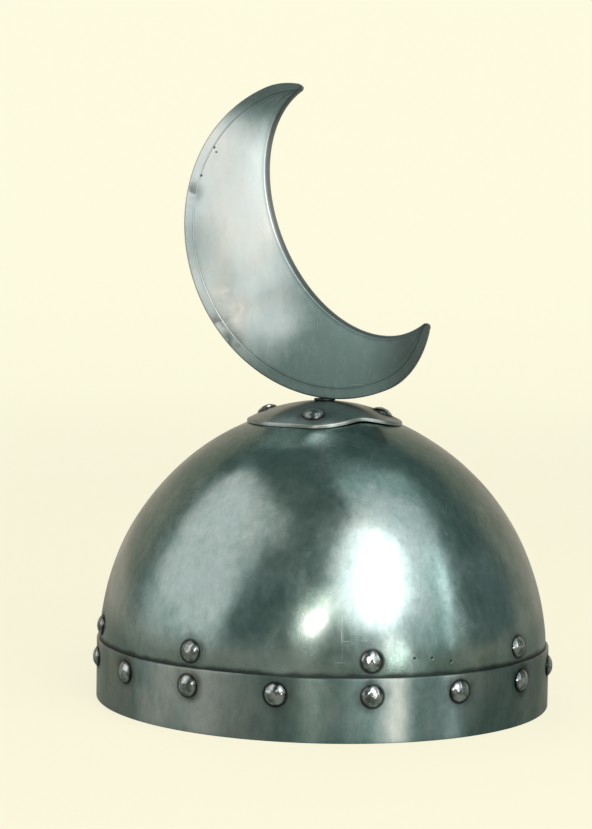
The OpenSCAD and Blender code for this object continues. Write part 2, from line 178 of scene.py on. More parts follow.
# %% Gentle unevenness
def waves(points, lengths, heights, seed):
    """Sines of the given lengths and heights in mm, in random directions, added up."""
    draw = np.random.default_rng(seed)
    total = np.zeros(points.shape[:-1])
    for length, height in zip(lengths, heights):
        for _ in range(6):
            way = draw.normal(size=3)
            way /= np.linalg.norm(way)
            swing = TAU * (points @ way) / (length * MM) + draw.uniform(0, TAU)
            total += height * MM / 6 ** 0.5 * np.sin(swing)
    return total


def unit(v):
    """v scaled to length 1."""
    return v / np.linalg.norm(v, axis=-1, keepdims=True)


# %% [markdown]
# ## Rivets
# A rivet starts as a pin with a domed head. The smith hammers its other end over inside, and the
# blows on the head leave small flats. A lathe profile gives the pin, and the flats come from
# pressing every head point that stands above a plane back onto that plane. All rivets of a set are
# turned in one array and stood on their places at once.

# %% Where the rivets stand
BAND_T = 1.5 * MM
PLATE_T = 1.6 * MM
BAND_OUT = -(BAND_T + LAY_GAP)
BAND_RIVET_Z = 23 * MM
LINER_RIVET_Z = 39.6 * MM
CROWN_RING = 31 * MM
LOBE_REACH = 41.3 * MM
LOBE_R = 23 * MM
REAR_R = 41 * MM
PLATE_LIFT = 1.7 * MM

plate_bottom = crown_height(0, -LAY_GAP) + PLATE_LIFT
plate_sag = plate_bottom - crown_height(LOBE_REACH, -LAY_GAP)
PLATE_BALL = (LOBE_REACH ** 2 + plate_sag ** 2) / (2 * plate_sag)
PLATE_C = plate_bottom - PLATE_BALL


def wall_places(count, offset, z, inset):
    """Feet and outward normals of evenly spaced rivets, the first offset by a share of a step."""
    a = (np.arange(count) + offset) * TAU / count
    rise = np.arcsin(max(z - WALL_H, 0) / (SHOULDER_R - inset))
    feet = around(a, reach_at(z, inset), z, inset)
    normals = around(a, np.cos(rise), np.sin(rise), inset)
    normals[:, 0] /= oval(inset) ** 2
    return feet, unit(normals)


def dome_places(count, offset, ring, z, centre_z, ratio):
    """Feet and outward normals of rivets on a ring round the crown of a ball narrowed by ratio."""
    a = (np.arange(count) + offset) * TAU / count
    x = ring * ratio * np.sin(a)
    y = -ring * np.cos(a)
    z = np.full(count, z)
    return np.stack([x, y, z], -1), unit(np.stack([x / ratio ** 2, y, z - centre_z], -1))


def plate_height(reach, more):
    """Height of the crown plate's underside over a reach, grown outwards by more."""
    return PLATE_C + np.sqrt((PLATE_BALL + more) ** 2 - reach ** 2)


band_feet, band_normals = wall_places(16, 0, BAND_RIVET_Z, BAND_OUT)
band_normals[:, 2] = 0
liner_feet, liner_normals = wall_places(8, 0.5, LINER_RIVET_Z, 0)
crown_feet, crown_normals = dome_places(4, 0, CROWN_RING, plate_height(CROWN_RING, PLATE_T),
                                        PLATE_C, oval(0))
print("rivets:", len(band_feet), len(liner_feet), len(crown_feet))


# %% Turning, placing and hammering
def cap_profile(radius, height, steps, sign=1):
    """(r, z) of a low dome from its axis to its edge: part of a ball through top and edge."""
    ball = (radius ** 2 + height ** 2) / (2 * height)
    swing = np.linspace(0, np.arcsin(radius / ball), steps)
    return np.stack([ball * np.sin(swing), sign * (height - ball + ball * np.cos(swing))], -1)


def lathe(profile, columns):
    """Grid of points (rows, columns, 3): each profile point (r, z) taken round the axis."""
    turn = np.arange(columns) * TAU / columns
    r = profile[:, :1]
    z = np.repeat(profile[:, 1:], columns, 1)
    return np.stack([r * np.cos(turn), r * np.sin(turn), z], -1)


def stand(shapes, feet, normals):
    """Shapes (count, rows, columns, 3) moved so that their own +Z follows each normal."""
    side = unit(np.cross([0, 0, 1.0], normals) + 1e-9)
    other = np.cross(normals, side)
    axes = np.stack([side, other, normals], 1)
    return np.einsum("nijk,nkl->nijl", shapes, axes) + feet[:, None, None, :]


BLOWS = 7
BLOW_DEPTH = 0.22 * MM


def hammered(heads, height, ball, seed):
    """Heads with flats: points beyond a random plane near the ball's surface go back to it."""
    draw = np.random.default_rng(seed)
    centre = np.array([0, 0, height - ball])
    flat = heads - centre
    for _ in range(BLOWS):
        lean = np.radians(draw.uniform(0, 24, len(heads)))
        turn = draw.uniform(0, TAU, len(heads))
        way = np.stack([np.sin(lean) * np.cos(turn), np.sin(lean) * np.sin(turn), np.cos(lean)], -1)
        limit = ball - BLOW_DEPTH * draw.uniform(0.3, 1, len(heads))
        over = np.einsum("nijk,nk->nij", flat, way) - limit[:, None, None]
        flat = flat - np.maximum(over, 0)[..., None] * way[:, None, None, :]
    return flat + centre


# %% Rivet sets
HEAD_ROWS = 12
TAIL_ROWS = 7
RIVET_COLUMNS = 36
HEAD_EDGE = 0.3 * MM


def rivet_set(kind, feet, normals, stack, sizes, slot, seed):
    """One mesh of hammered rivets: head, rolled edge, shank and peened tail in one profile."""
    head_r, head_h, shank_r, tail_r, tail_h = sizes
    dome_h = head_h - HEAD_EDGE
    head = cap_profile(head_r, dome_h, HEAD_ROWS) + [0, HEAD_EDGE]
    tail = cap_profile(tail_r, tail_h, TAIL_ROWS, -1)[::-1] + [0, -stack]
    under = [[head_r, 0.08 * MM], [head_r - 0.15 * MM, 0], [shank_r, 0], [shank_r, -stack]]
    profile = np.concatenate([head, under, tail])
    shapes = np.repeat(lathe(profile, RIVET_COLUMNS)[None], len(feet), 0)
    ball = (head_r ** 2 + dome_h ** 2) / (2 * dome_h)
    shapes[:, :HEAD_ROWS] = hammered(shapes[:, :HEAD_ROWS], head_h, ball, seed)
    shapes[..., :2] *= np.random.default_rng(seed + 1).uniform(0.975, 1.0, (len(feet), 1, 1, 2))
    # Share of the head's radius, 1 off the head; the finish paints shade by it
    rim = np.where(profile[:, 1] >= 0, profile[:, 0] / head_r, 1)
    rim = np.broadcast_to(rim[:, None], shapes.shape[:3])
    return make_piece(f"{kind}_rivet_set", stand(shapes, feet, normals), "helmet",
                      f"{kind}_rivets", COLUMNS_CLOSED, {"rim": rim})


# Head radius and height, shank radius, tail radius and height
RIVET = (5.5 * MM, 2.6 * MM, 2.0 * MM, 3.5 * MM, 1.4 * MM)
LEATHER = 2.2 * MM
WASHER_T = 1.0 * MM
TONGUE_INSET = SHEET + LEATHER + 2 * LAY_GAP
WASHER_TOP = TONGUE_INSET + LEATHER + 0.25 * MM
SLOPE_ROOM = 0.28 * MM

plate_gap = plate_height(CROWN_RING, 0) - crown_height(CROWN_RING, 0) + SLOPE_ROOM
STACKS = {"band": (band_feet, band_normals, BAND_T + SHEET + 2 * LAY_GAP),
          "liner": (liner_feet, liner_normals, WASHER_TOP + WASHER_T + LAY_GAP),
          "crown": (crown_feet, crown_normals, PLATE_T + SHEET + plate_gap)}
steel_rivets = [rivet_set(kind, *stack, RIVET, "rivet_steel", 11 + i)
                for i, (kind, stack) in enumerate(STACKS.items())]


# %% [markdown]
# ## Skull
# The cap was raised from one sheet and planished, so its reflections waver a little. A Subdivision
# Surface over a few rings would be quick, but it would drift from the CAD curve. Instead the CAD
# curve itself is sampled about every 2 mm, outside and inside, and long gentle waves move each
# point away from the cap's middle or towards it. Each point also keeps its distance to the nearest
# rivet, which the finish uses.

# %% Skull sheet
SKULL_COLUMNS = 360
RIM_ROUND = 0.5 * MM
SOFT = 0.15 * MM
BAND_COVERS_Z = 24 * MM
PLATE_COVERS_R = 42 * MM
WAVES_GROW = 14 * MM


def nearest(points, feet):
    """Distance from each point to the nearest of a few feet."""
    return np.linalg.norm(points[..., None, :] - feet, axis=-1).min(-1)


outer_r, outer_z = dome_profile(0, RIM_ROUND, STEM_HOLE_R, 10, 84, 44)
inner_r, inner_z = dome_profile(SHEET, RIM_ROUND, STEM_HOLE_R, 7, 50, 26)
rim_r = HALF_L - np.array([[SHEET - SOFT], [SHEET / 2], [SOFT]])
rim_z = np.array([[SOFT], [0], [SOFT]])
turn = np.arange(SKULL_COLUMNS) * TAU / SKULL_COLUMNS
skin = np.concatenate([around(turn, outer_r, outer_z, 0),
                       around(turn, inner_r[::-1], inner_z[::-1], SHEET),
                       around(turn, rim_r, rim_z, SHEET / 2)])
lift = waves(skin, [95, 48, 24, 13], [0.15, 0.085, 0.03, 0.009], 5)
lift *= np.clip((skin[..., 2] - BAND_COVERS_Z) / WAVES_GROW, 0.25, 1)
crown_flat = np.clip((np.hypot(skin[..., 0], skin[..., 1]) - PLATE_COVERS_R) / WAVES_GROW, 0.08, 1)
skin = skin + (lift * crown_flat)[..., None] * unit(skin - [0, 0, CROWN_Z * 0.5])
skull = make_piece("skull_sheet", skin, "helmet", "skull",
                   notes={"to_rivet": nearest(skin, np.concatenate([liner_feet, crown_feet]))})


# %% [markdown]
# ## Brow band
# The band is a strip bent round the rim, with filed edges and its two ends butted behind. A sharp
# CAD edge looks dull, because nothing on it catches the light. Here the strip's cross-section is a
# loop with rounded corners, carried round the oval, and a fan closes each end at the seam.

# %% Brow band strip
BAND_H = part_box("brow_band")[1].z
SEAM_A = TAU / 2 + TAU / 32
SEAM_HALF = 0.3 * MM / HALF_L


def rounded_loop(inset_out, inset_in, z0, z1, round_out, round_in, steps):
    """Cross-section as (inset, height): up the outer face and down the inner, corners rounded."""
    swing = np.linspace(0, TAU / 4, 5)
    first, last = 1 - np.sin(swing), 1 - np.cos(swing)
    face = np.linspace(0, 1, steps)[1:-1]
    up = z0 + round_out + (z1 - z0 - 2 * round_out) * face
    down = (z1 - round_in) - (z1 - z0 - 2 * round_in) * face
    inset = [inset_out + round_out * first, np.full(len(up), inset_out),
             inset_out + round_out * last, inset_in - round_in * first,
             np.full(len(down), inset_in), inset_in - round_in * last]
    height = [z0 + round_out * last, up, z1 - round_out * first,
              z1 - round_in * last, down, z0 + round_in * first]
    return np.concatenate(inset)[:, None], np.concatenate(height)[:, None]


def with_caps(points):
    """The grid with one more column at each end, shrunk to the middle of the end section."""
    first = np.repeat(points[:, :1].mean(0, keepdims=True), len(points), 0)
    last = np.repeat(points[:, -1:].mean(0, keepdims=True), len(points), 0)
    return np.concatenate([first, points, last], 1)


inset, height = rounded_loop(BAND_OUT, -LAY_GAP, 0, BAND_H, 0.55 * MM, 0.2 * MM, 14)
turn = np.linspace(SEAM_A + SEAM_HALF, SEAM_A + TAU - SEAM_HALF, 420)
strip = around(turn, reach_at(height, inset), height, inset)
outside = np.clip((-inset - LAY_GAP) / BAND_T, 0, 1)
swell = waves(strip, [70, 32, 15], [0.05, 0.03, 0.01], 21)
strip = strip + (swell * outside)[..., None] * unit(strip * [1, 1, 0])
edge_wander = waves(strip * [1, 1, 0], [120, 40], [0.12, 0.05], 22)
strip[..., 2] += edge_wander * np.clip(height / BAND_H, 0, 1) ** 4
strip = with_caps(strip)
band = make_piece("brow_band_strip", strip, "helmet", "brow_band", ROWS_CLOSED,
                  {"to_rivet": nearest(strip, band_feet)})


# %% [markdown]
# ## Crown plate
# The plate has a lobe to the front and one to each side, and a plain round rear half. It is domed a
# little more than the skull, so its middle stands up as a low tent while its rim rests on the cap.
# A filed edge turns the light and shows as a bright line. A ray from the middle meets the outline
# at a distance that a formula gives, so rows of points run from the stem's hole over the top, round
# the edge and back underneath.

# %% Crown plate sheet
PLATE_ROUND = 0.55 * MM
TOP_ROWS = 36
UNDER_ROWS = 20
EDGE_ROWS = 7
PLATE_COLUMNS = 320


def plate_edge(a):
    """Distance from the middle to the outline at angle a from the front, before narrowing."""
    off = a[:, None] - np.array([-1, 0, 1]) * TAU / 4
    out = LOBE_REACH - LOBE_R
    lobes = out * np.cos(off) + np.sqrt(LOBE_R ** 2 - (out * np.sin(off)) ** 2)
    joined = (lobes ** 9).sum(-1) ** (1 / 9)
    return np.where(np.cos(a) < 0, np.maximum(lobes.max(-1), REAR_R), joined)


turn = np.arange(PLATE_COLUMNS) * TAU / PLATE_COLUMNS
edge = plate_edge(turn)
swing = np.linspace(0, TAU / 4, EDGE_ROWS)
pull = np.concatenate([np.full(TOP_ROWS, PLATE_ROUND), PLATE_ROUND * (1 - np.sin(swing)),
                       [0], np.full(UNDER_ROWS + 1, SOFT)])
deep = np.concatenate([np.zeros(TOP_ROWS), PLATE_ROUND * (1 - np.cos(swing)),
                       [PLATE_T - SOFT], np.full(UNDER_ROWS + 1, PLATE_T)])
inward = np.concatenate([np.linspace(1, 0, TOP_ROWS) ** 1.3, np.zeros(EDGE_ROWS + 2),
                         np.linspace(0, 1, UNDER_ROWS)])[:, None]
rows_r = (edge - pull[:, None]) * (1 - inward) + STEM_HOLE_R * inward
plate_points = around(turn, rows_r, plate_height(rows_r, PLATE_T - deep[:, None]), 0)
dents = waves(plate_points, [44, 20, 9], [0.16, 0.06, 0.012], 31)
fade = np.clip((rows_r - 9 * MM) / (8 * MM), 0, 1) * np.clip((edge - rows_r) / (6 * MM), 0.25, 1)
plate_points[..., 2] += dents * fade
plate = make_piece("crown_plate_sheet", plate_points, "helmet", "crown_plate",
                   notes={"to_rivet": nearest(plate_points, crown_feet)})


# %% [markdown]
# ## Crescent
# The crescent is two pressed trays, joined along the middle. Each has a softly rounded border, a
# thin crease, a slightly cushioned field, and a narrow slope down to the hollow side. A ray from the
# hollow side's centre crosses the inner outline once and the outer outline once, so an angle and a
# share of the way across describe every point. Near a horn's tip the ray crosses the tip's circle
# instead, and at its tangent both meetings are one.

# %% Crescent outline
TILT = np.radians(67)
OUTER_A = 85.3 * MM
OUTER_BACK = 74.8 * MM
OUTER_FRONT = 49.8 * MM
INNER_A = 69.5 * MM
INNER_B = 45.2 * MM
TIP_R = 2 * MM
HOLLOW_OFFSET = np.array([18.2, 16.2]) * MM
crest_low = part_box("crescent_right")[0]
outer_drop = np.hypot(OUTER_A * np.sin(TILT), OUTER_BACK * np.cos(TILT))
OUTER_C = np.array([-0.2 * MM, crest_low.z + outer_drop])


def tilted(v, tilt=TILT):
    """A vector (along, across) the crescent's own tilted axes as (forward, up)."""
    return np.stack([v[..., 0] * np.cos(tilt) + v[..., 1] * np.sin(tilt),
                     -v[..., 0] * np.sin(tilt) + v[..., 1] * np.cos(tilt)], -1)


HOLLOW_C = tilted(HOLLOW_OFFSET, -TILT)


def tip_centre(start):
    """Where the outer outline less TIP_R meets the hollow one plus TIP_R, by halving angles."""
    outside, inside = start, TAU / 4
    for _ in range(40):
        mid = (outside + inside) / 2
        b = (OUTER_BACK if np.sin(mid) < 0 else OUTER_FRONT) - TIP_R
        point = np.array([(OUTER_A - TIP_R) * np.cos(mid), b * np.sin(mid)])
        ahead = (point - HOLLOW_C) / [INNER_A + TIP_R, INNER_B + TIP_R]
        if np.hypot(*ahead) < 1:
            inside = mid
        else:
            outside = mid
    return point


low_tip = tip_centre(-TAU / 4)
high_tip = tip_centre(TAU * 0.75)
print("horn tips (forward, up) mm:", np.round((tilted(low_tip) + OUTER_C) / MM, 1),
      np.round((tilted(high_tip) + OUTER_C) / MM, 1))


# %% Rays across the crescent
def seen_tips(shrink):
    """For each tip: its centre from the hollow's, its bearing, its half width in angle, a sign."""
    for tip, sign in ((low_tip, 1), (high_tip, -1)):
        centre = tip - HOLLOW_C
        half = np.arcsin((TIP_R - shrink) / np.hypot(*centre))
        yield centre, np.arctan2(centre[1], centre[0]), half, sign


def ray_ellipse(way, centre, a, b):
    """Distance from the hollow's centre along way to an ellipse round centre, going outwards."""
    start = (HOLLOW_C - centre) / [a, b]
    step = way / [a, b]
    p = (step ** 2).sum(-1)
    q = (start * step).sum(-1)
    return (-q + np.sqrt(q ** 2 - p * ((start ** 2).sum(-1) - 1))) / p


def crossings(angle, shrink):
    """Distances along each ray to the hollow outline and to the outer one, shrunk by shrink."""
    way = np.stack([np.cos(angle), np.sin(angle)], -1)
    near = ray_ellipse(way, HOLLOW_C, INNER_A + shrink, INNER_B + shrink)
    back = ray_ellipse(way, np.zeros(2), OUTER_A - shrink, OUTER_BACK - shrink)
    front = ray_ellipse(way, np.zeros(2), OUTER_A - shrink, OUTER_FRONT - shrink)
    far = np.where(HOLLOW_C[1] + back * way[:, 1] < 0, back, front)
    for centre, bearing, half_angle, sign in seen_tips(shrink):
        along = way @ centre
        room = (TIP_R - shrink) ** 2 - (centre @ centre - along ** 2)
        half = np.sqrt(np.maximum(room, 0))
        past = sign * ((angle - bearing + TAU / 2) % TAU - TAU / 2)
        share = np.clip(past / (half_angle * 0.6), 0, 1)
        share = share * share * (3 - 2 * share)
        here = (room >= -1e-9) & (along > 0)
        near_tip = np.minimum(near, along - half) * (1 - share) + (along - half) * share
        far_tip = np.maximum(far, along + half) * (1 - share) + (along + half) * share
        near = np.where(here, near_tip, near)
        far = np.where(here, far_tip, far)
    return way, near, far


def ray_angles(shrink, columns):
    """Ray angles from the high tip's tangent to the low tip's, crowded near both ends."""
    last, first = (bearing + sign * half for _, bearing, half, sign in seen_tips(shrink))
    first -= TAU if first > last else 0
    even = np.linspace(0, 1, columns)
    crowded = 0.5 - 0.5 * np.cos(np.pi * even)
    return first + (last - first) * (0.55 * even + 0.45 * crowded)


# %% Crescent halves
BORDER_OUT = 5.5 * MM
BORDER_IN = 1.7 * MM
EASE = 2.5 * MM
PRESS_T = 1.0 * MM
CRESCENT_COLUMNS = 260
# Each row is (place, height above the middle plane in mm). The place runs from 0 at the outer edge
# to 1 at the crease, 2 where the field begins, 3 where it ends, 4 at its inner ridge and 5 at the
# hollow.
OUTER_BORDER = [(0, 2.9), (0.01, 3.2), (0.04, 3.45), (0.1, 3.62), (0.2, 3.72), (0.4, 3.84),
                (0.6, 3.95), (0.8, 4.06), (0.88, 4.12), (0.93, 4.13), (0.96, 4.08),
                (0.98, 3.98), (1, 3.90)]
CREASE = [(1.03, 3.86), (1.08, 3.92), (1.15, 4.06), (1.25, 4.17), (1.45, 4.26), (1.7, 4.34)]
RIDGE = [(3.3, 4.34), (3.6, 4.31), (3.78, 4.33), (3.88, 4.39), (3.95, 4.43)]
INNER_BORDER = [(4, 4.42), (4.08, 4.36), (4.2, 4.22), (4.4, 3.93), (4.65, 3.52), (4.85, 3.15),
                (4.95, 2.9), (5, 2.6)]


def face_rows():
    """All rows over the front of a half; the field swells like a cushion from 4.4 to 5 mm."""
    share = np.linspace(0, 1, 21)
    field = np.stack([2 + share, 4.4 + 0.6 * (1 - (2 * share - 1) ** 2)], -1)
    return np.concatenate([OUTER_BORDER, CREASE, field, RIDGE, INNER_BORDER])


def lesser(a, b):
    """The smaller of two lengths, with a soft change from one to the other."""
    return a * b / np.maximum((a ** 4 + b ** 4) ** 0.25, 1e-9)


def crescent_skin(shrink, dip):
    """Grid of a half's skin, shrunk in outline and dipped in height: wall, face and wall again."""
    way, near, far = crossings(ray_angles(shrink, CRESCENT_COLUMNS), shrink)
    width = np.maximum(far - near, 0)
    small = np.clip(width / (14 * MM), 0, 1)
    rim_out = lesser(BORDER_OUT, 0.8 * width)
    rest = width - rim_out
    ease, rim_in = lesser(EASE, 0.22 * rest), lesser(BORDER_IN, 0.3 * rest)
    parts = np.stack([rim_out, ease, rest - 2 * ease - rim_in, ease, rim_in])
    place, height = face_rows().T
    reach = far - np.clip(place[:, None] - np.arange(5), 0, 1) @ parts
    height = (3.2 + (height[:, None] - 3.2) * (0.45 + 0.55 * small)) * MM - dip
    face = np.concatenate([np.repeat(far[None], 2, 0), reach, np.repeat(near[None], 2, 0)])
    wall, seam = np.full(CRESCENT_COLUMNS, 0.8 * MM), np.zeros(CRESCENT_COLUMNS)
    height = np.concatenate([[seam, wall], height, [wall, seam]])
    forward_up = tilted(HOLLOW_C + face[..., None] * way) + OUTER_C
    place = np.repeat(np.concatenate([[0, 0], place, [5, 5]])[:, None], CRESCENT_COLUMNS, 1)
    return np.stack([-height, -forward_up[..., 0], forward_up[..., 1]], -1), place


skin, place = crescent_skin(0, 0)
lining = crescent_skin(PRESS_T, PRESS_T)[0][::-1]
wander = waves(skin, [75, 38, 16], [0.12, 0.05, 0.006], 41)
skin[..., 0] += wander * np.clip((-skin[..., 0] - 3.0 * MM) / (1.2 * MM), 0, 1)
half = np.concatenate([skin, lining])
across = {"across": np.concatenate([place, place[::-1]])}
right, left = (make_piece(f"crescent_{hand}_pressing", half * [way, 1, 1], "crest",
                          f"crescent_{hand}", ROWS_CLOSED, across)
               for hand, way in (("right", 1), ("left", -1)))


# %% [markdown]
# ## Stem, nuts and washers
# The stem is a turned bolt. Its dark collar fills the daylight under the crescent, and below the
# skull it is threaded for a nut and a locknut. A thread is a lathe shape whose radius depends on
# the height less the pitch times the turn. A nut is a hexagon whose corners a cone cuts away.

# %% Stem with its thread
stem_low, stem_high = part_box("crest_stem")
plate_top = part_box("crown_plate")[1].z
COLLAR_R = 5.65 * MM
SHANK_R = 4.0 * MM
TANG_R = 2.5 * MM
PITCH = 1.25 * MM
THREAD_TOP = 151 * MM
THREAD_ROWS = 150
STEM_COLUMNS = 40
collar_z0 = plate_top + 0.15 * MM
collar_z1 = crest_low.z - LAY_GAP

end = stem_low.z
shank = np.linspace(end + 0.5 * MM, collar_z0, THREAD_ROWS)
profile_z = np.concatenate([[end, end, end + 0.25 * MM], shank,
                            [collar_z0, collar_z0 + 0.25 * MM, collar_z1 - 0.25 * MM, collar_z1,
                             collar_z1, stem_high.z - 0.5 * MM, stem_high.z, stem_high.z]])
profile_r = np.concatenate([[0, SHANK_R - 0.8 * MM, SHANK_R - 0.55 * MM],
                            np.full(THREAD_ROWS, SHANK_R),
                            [COLLAR_R - 0.25 * MM, COLLAR_R, COLLAR_R, COLLAR_R - 0.3 * MM,
                             TANG_R, TANG_R, TANG_R - 0.5 * MM, 0]])
bolt = lathe(np.stack([profile_r, profile_z], -1), STEM_COLUMNS)
turn = np.arange(STEM_COLUMNS) * TAU / STEM_COLUMNS
thread = bolt[3:3 + THREAD_ROWS]
saw = (thread[..., 2] / PITCH - turn / TAU) % 1
threaded = np.clip((THREAD_TOP - thread[..., 2]) / (2 * MM), 0, 1)
thread[..., :2] *= (1 - 0.14 * threaded * np.abs(2 * saw - 1))[..., None]
stem = make_piece("crest_stem_bolt", bolt, "crest", "crest_stem", COLUMNS_CLOSED)

# %% Weld bead under the crescent
BEAD_R = 5.3 * MM
BEAD_TUBE = 0.32 * MM
a = np.arange(96) * TAU / 96
b = np.arange(12)[:, None] * TAU / 12
tube = BEAD_TUBE * (1 + 0.16 * np.abs(np.sin(a * 9)) + 0.10 * np.sin(a * 3 + 1))
r = BEAD_R + tube * np.cos(b)
bead = np.stack([r * np.cos(a), r * np.sin(a), crest_low.z - 0.22 * MM + tube * np.sin(b)], -1)
weld = make_piece("crest_weld_bead", bead, "crest")


# %% Nuts and washers
BORE_R = SHANK_R + 0.05 * MM
CHAMFER_FROM = 0.97
CHAMFER_SLOPE = 1.9


def hex_nut(node):
    """A hexagon with a chamfer at both ends: radius is the hexagon's or the cone's, if smaller."""
    lo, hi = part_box(node)
    a = np.arange(96) * TAU / 96
    flats = min(hi.x, hi.y)
    corner = 0 if hi.x > hi.y else TAU / 12
    hexagon = flats / np.cos((a + corner) % (TAU / 6) - TAU / 12)
    tall = hi.z - lo.z
    up = np.concatenate([[0, 0], np.linspace(0, 1, 14), [1, 1]])[:, None]
    cone = flats * CHAMFER_FROM + np.minimum(up, 1 - up) * tall * CHAMFER_SLOPE
    radius = np.minimum(hexagon, cone)
    radius[[0, -1]] = BORE_R
    radius[[1, -2]] = BORE_R + 0.5 * MM
    z = lo.z + up * tall
    z[0] += 0.5 * MM
    z[-1] -= 0.5 * MM
    grid = np.stack(np.broadcast_arrays(radius * np.cos(a), radius * np.sin(a), z), -1)
    return make_piece(f"{node}_hex", grid, "crest", node, crisp=25)


def washer_rows(outer_r, bore_r, thick):
    """Closed cross-section (r, z) of a washer with softened edges."""
    soft = thick * 0.22
    return np.array([[bore_r, soft], [bore_r, thick - soft], [bore_r + soft, thick],
                     [outer_r - soft, thick], [outer_r, thick - soft], [outer_r, soft],
                     [outer_r - soft, 0], [bore_r + soft, 0]])


nuts = [hex_nut("crest_nut"), hex_nut("crest_locknut")]
wash_low, wash_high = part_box("crest_washer")
ring = lathe(washer_rows(wash_high.x, BORE_R, wash_high.z - wash_low.z), 72) + [0, 0, wash_low.z]
crest_washer = make_piece("crest_washer_ring", ring, "helmet", "crest_washer",
                          crisp=25)
rings = np.repeat(lathe(washer_rows(5 * MM, 2.1 * MM, WASHER_T), 32)[None], 8, 0)
rings[..., 2] -= WASHER_TOP + WASHER_T
liner_washers = make_piece("liner_washer_set", stand(rings, liner_feet, liner_normals), "helmet",
                           "liner_washers", crisp=25)


# %% [markdown]
# ## Leather liner
# A leather band carries eight tongues, whose tips a leather disc gathers under the crown. Leather
# this thick keeps its shape, so it needs no cloth simulation: each piece is a thick sheet on a
# known curve with rounded edges. The tongues narrow a little on their way up and bow by half a
# millimetre, as cut leather does, and the band has a row of stitches along its upper edge.

# %% Tongue curve
TONGUE_CURL = 34 * MM
TONGUE_LEAVE = np.radians(12)
TONGUE_DROP = 3.2 * MM
TONGUE_HALF = np.radians(39 / 2)
TONGUE_TIP_R = 14 * MM
TONGUE_FOOT_Z = 32 * MM
TONGUE_OVAL = oval(TONGUE_INSET)

tongue_r0 = SHOULDER_R - TONGUE_INSET
tongue_r1 = SHOULDER_R - TONGUE_CURL
tongue_x1 = (tongue_r0 - tongue_r1) * np.cos(TONGUE_LEAVE) - SHOULDER_MORE
tongue_z1 = WALL_H + (tongue_r0 - tongue_r1) * np.sin(TONGUE_LEAVE)
tongue_top = stem_low.z - TONGUE_DROP
tongue_turn = TAU / 4 - 2 * np.arctan((tongue_top - tongue_z1 - tongue_r1) / tongue_x1)
tongue_r2 = tongue_r1 + tongue_x1 / np.cos(tongue_turn)
tongue_z2 = tongue_top - tongue_r2
print(f"tongues: shoulder {tongue_r1 / MM:.1f}, crown {tongue_r2 / MM:.1f} mm")


def tongue_profile(depth):
    """(reach, height) of the tongues' curve, depth below their outer face, foot to tip."""
    r0, r1, r2 = tongue_r0 - depth, tongue_r1 - depth, tongue_r2 - depth
    first = np.linspace(np.arcsin((TONGUE_FOOT_Z - WALL_H) / r0), TONGUE_LEAVE, 8, endpoint=False)
    second = np.linspace(TONGUE_LEAVE, tongue_turn, 26, endpoint=False)
    third = np.linspace(tongue_turn, np.arccos(TONGUE_TIP_R / r2), 26)
    reach = [r0 * np.cos(first) - SHOULDER_MORE, tongue_x1 + r1 * np.cos(second),
             r2 * np.cos(third)]
    height = [WALL_H + r0 * np.sin(first), tongue_z1 + r1 * np.sin(second),
              tongue_z2 + r2 * np.sin(third)]
    return np.stack([np.concatenate(reach), np.concatenate(height)], -1)


# %% Eight tongues
def tongue_grid(middle, seed):
    """Grid (round the cross-section, along the tongue) of one tongue about the angle middle."""
    lanes = np.linspace(-1, 1, 15)
    lane = np.concatenate([lanes, [1.012, 1.012], lanes[::-1], [-1.012, -1.012]])[:, None]
    share = np.concatenate([np.zeros(15), [0.3, 0.7], np.ones(15), [0.7, 0.3]])
    share[[0, 14]] = 0.12
    share[[17, 31]] = 0.88
    outer, inner = tongue_profile(0), tongue_profile(LEATHER)
    ends = np.ones(len(outer))
    ends[[0, -1]] = 0.55
    share = 0.5 + (share[:, None, None] - 0.5) * ends[None, :, None]
    curve = outer * (1 - share) + inner * share
    along = np.linspace(0, 1, len(outer))
    narrow = 0.985 - 0.055 * np.sin(np.pi * np.clip(along * 1.15, 0, 1)) ** 2
    corner = np.clip(along / 0.05, 0, 1)
    narrow = narrow * (0.94 + 0.06 * np.sqrt(1 - (1 - corner) ** 2))
    a = middle + TONGUE_HALF * lane * narrow
    grid = around(a, curve[..., 0], curve[..., 1], TONGUE_INSET)
    bow = waves(grid, [70, 35], [0.45, 0.2], seed)
    cup = 0.5 * MM * (lane ** 2 - 0.4)
    free = np.clip((along - 0.22) / 0.15, 0, 1) * np.clip((0.86 - along) / 0.12, 0, 1)
    grid -= ((bow + cup) * free)[..., None] * unit(grid - [0, 0, tongue_z1])
    return with_caps(grid)


tongues = [make_piece(f"liner_tongue_leather_{i + 1}", tongue_grid((i + 0.5) * TAU / 8, 51 + i),
                      "helmet", f"liner_tongue_{i + 1}", ROWS_CLOSED, crisp=60)
           for i in range(8)]

# %% Liner band and crown disc
lb_low, lb_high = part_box("liner_band")
LINER_OUT = SHEET + LAY_GAP
inset, height = rounded_loop(LINER_OUT, LINER_OUT + LEATHER, lb_low.z, lb_high.z,
                             0.5 * MM, 0.6 * MM, 12)
turn = np.linspace(TAU / 2 + 0.003, TAU * 1.5 - 0.003, 300)
strap = around(turn, reach_at(height, inset), height, inset)
inside = np.clip((inset - LINER_OUT) / LEATHER, 0, 1)
strap[..., 2] += waves(strap, [80, 30], [0.25, 0.1], 61) * inside
liner_band = make_piece("liner_band_leather", with_caps(strap), "helmet",
                        "liner_band", ROWS_CLOSED, crisp=60)

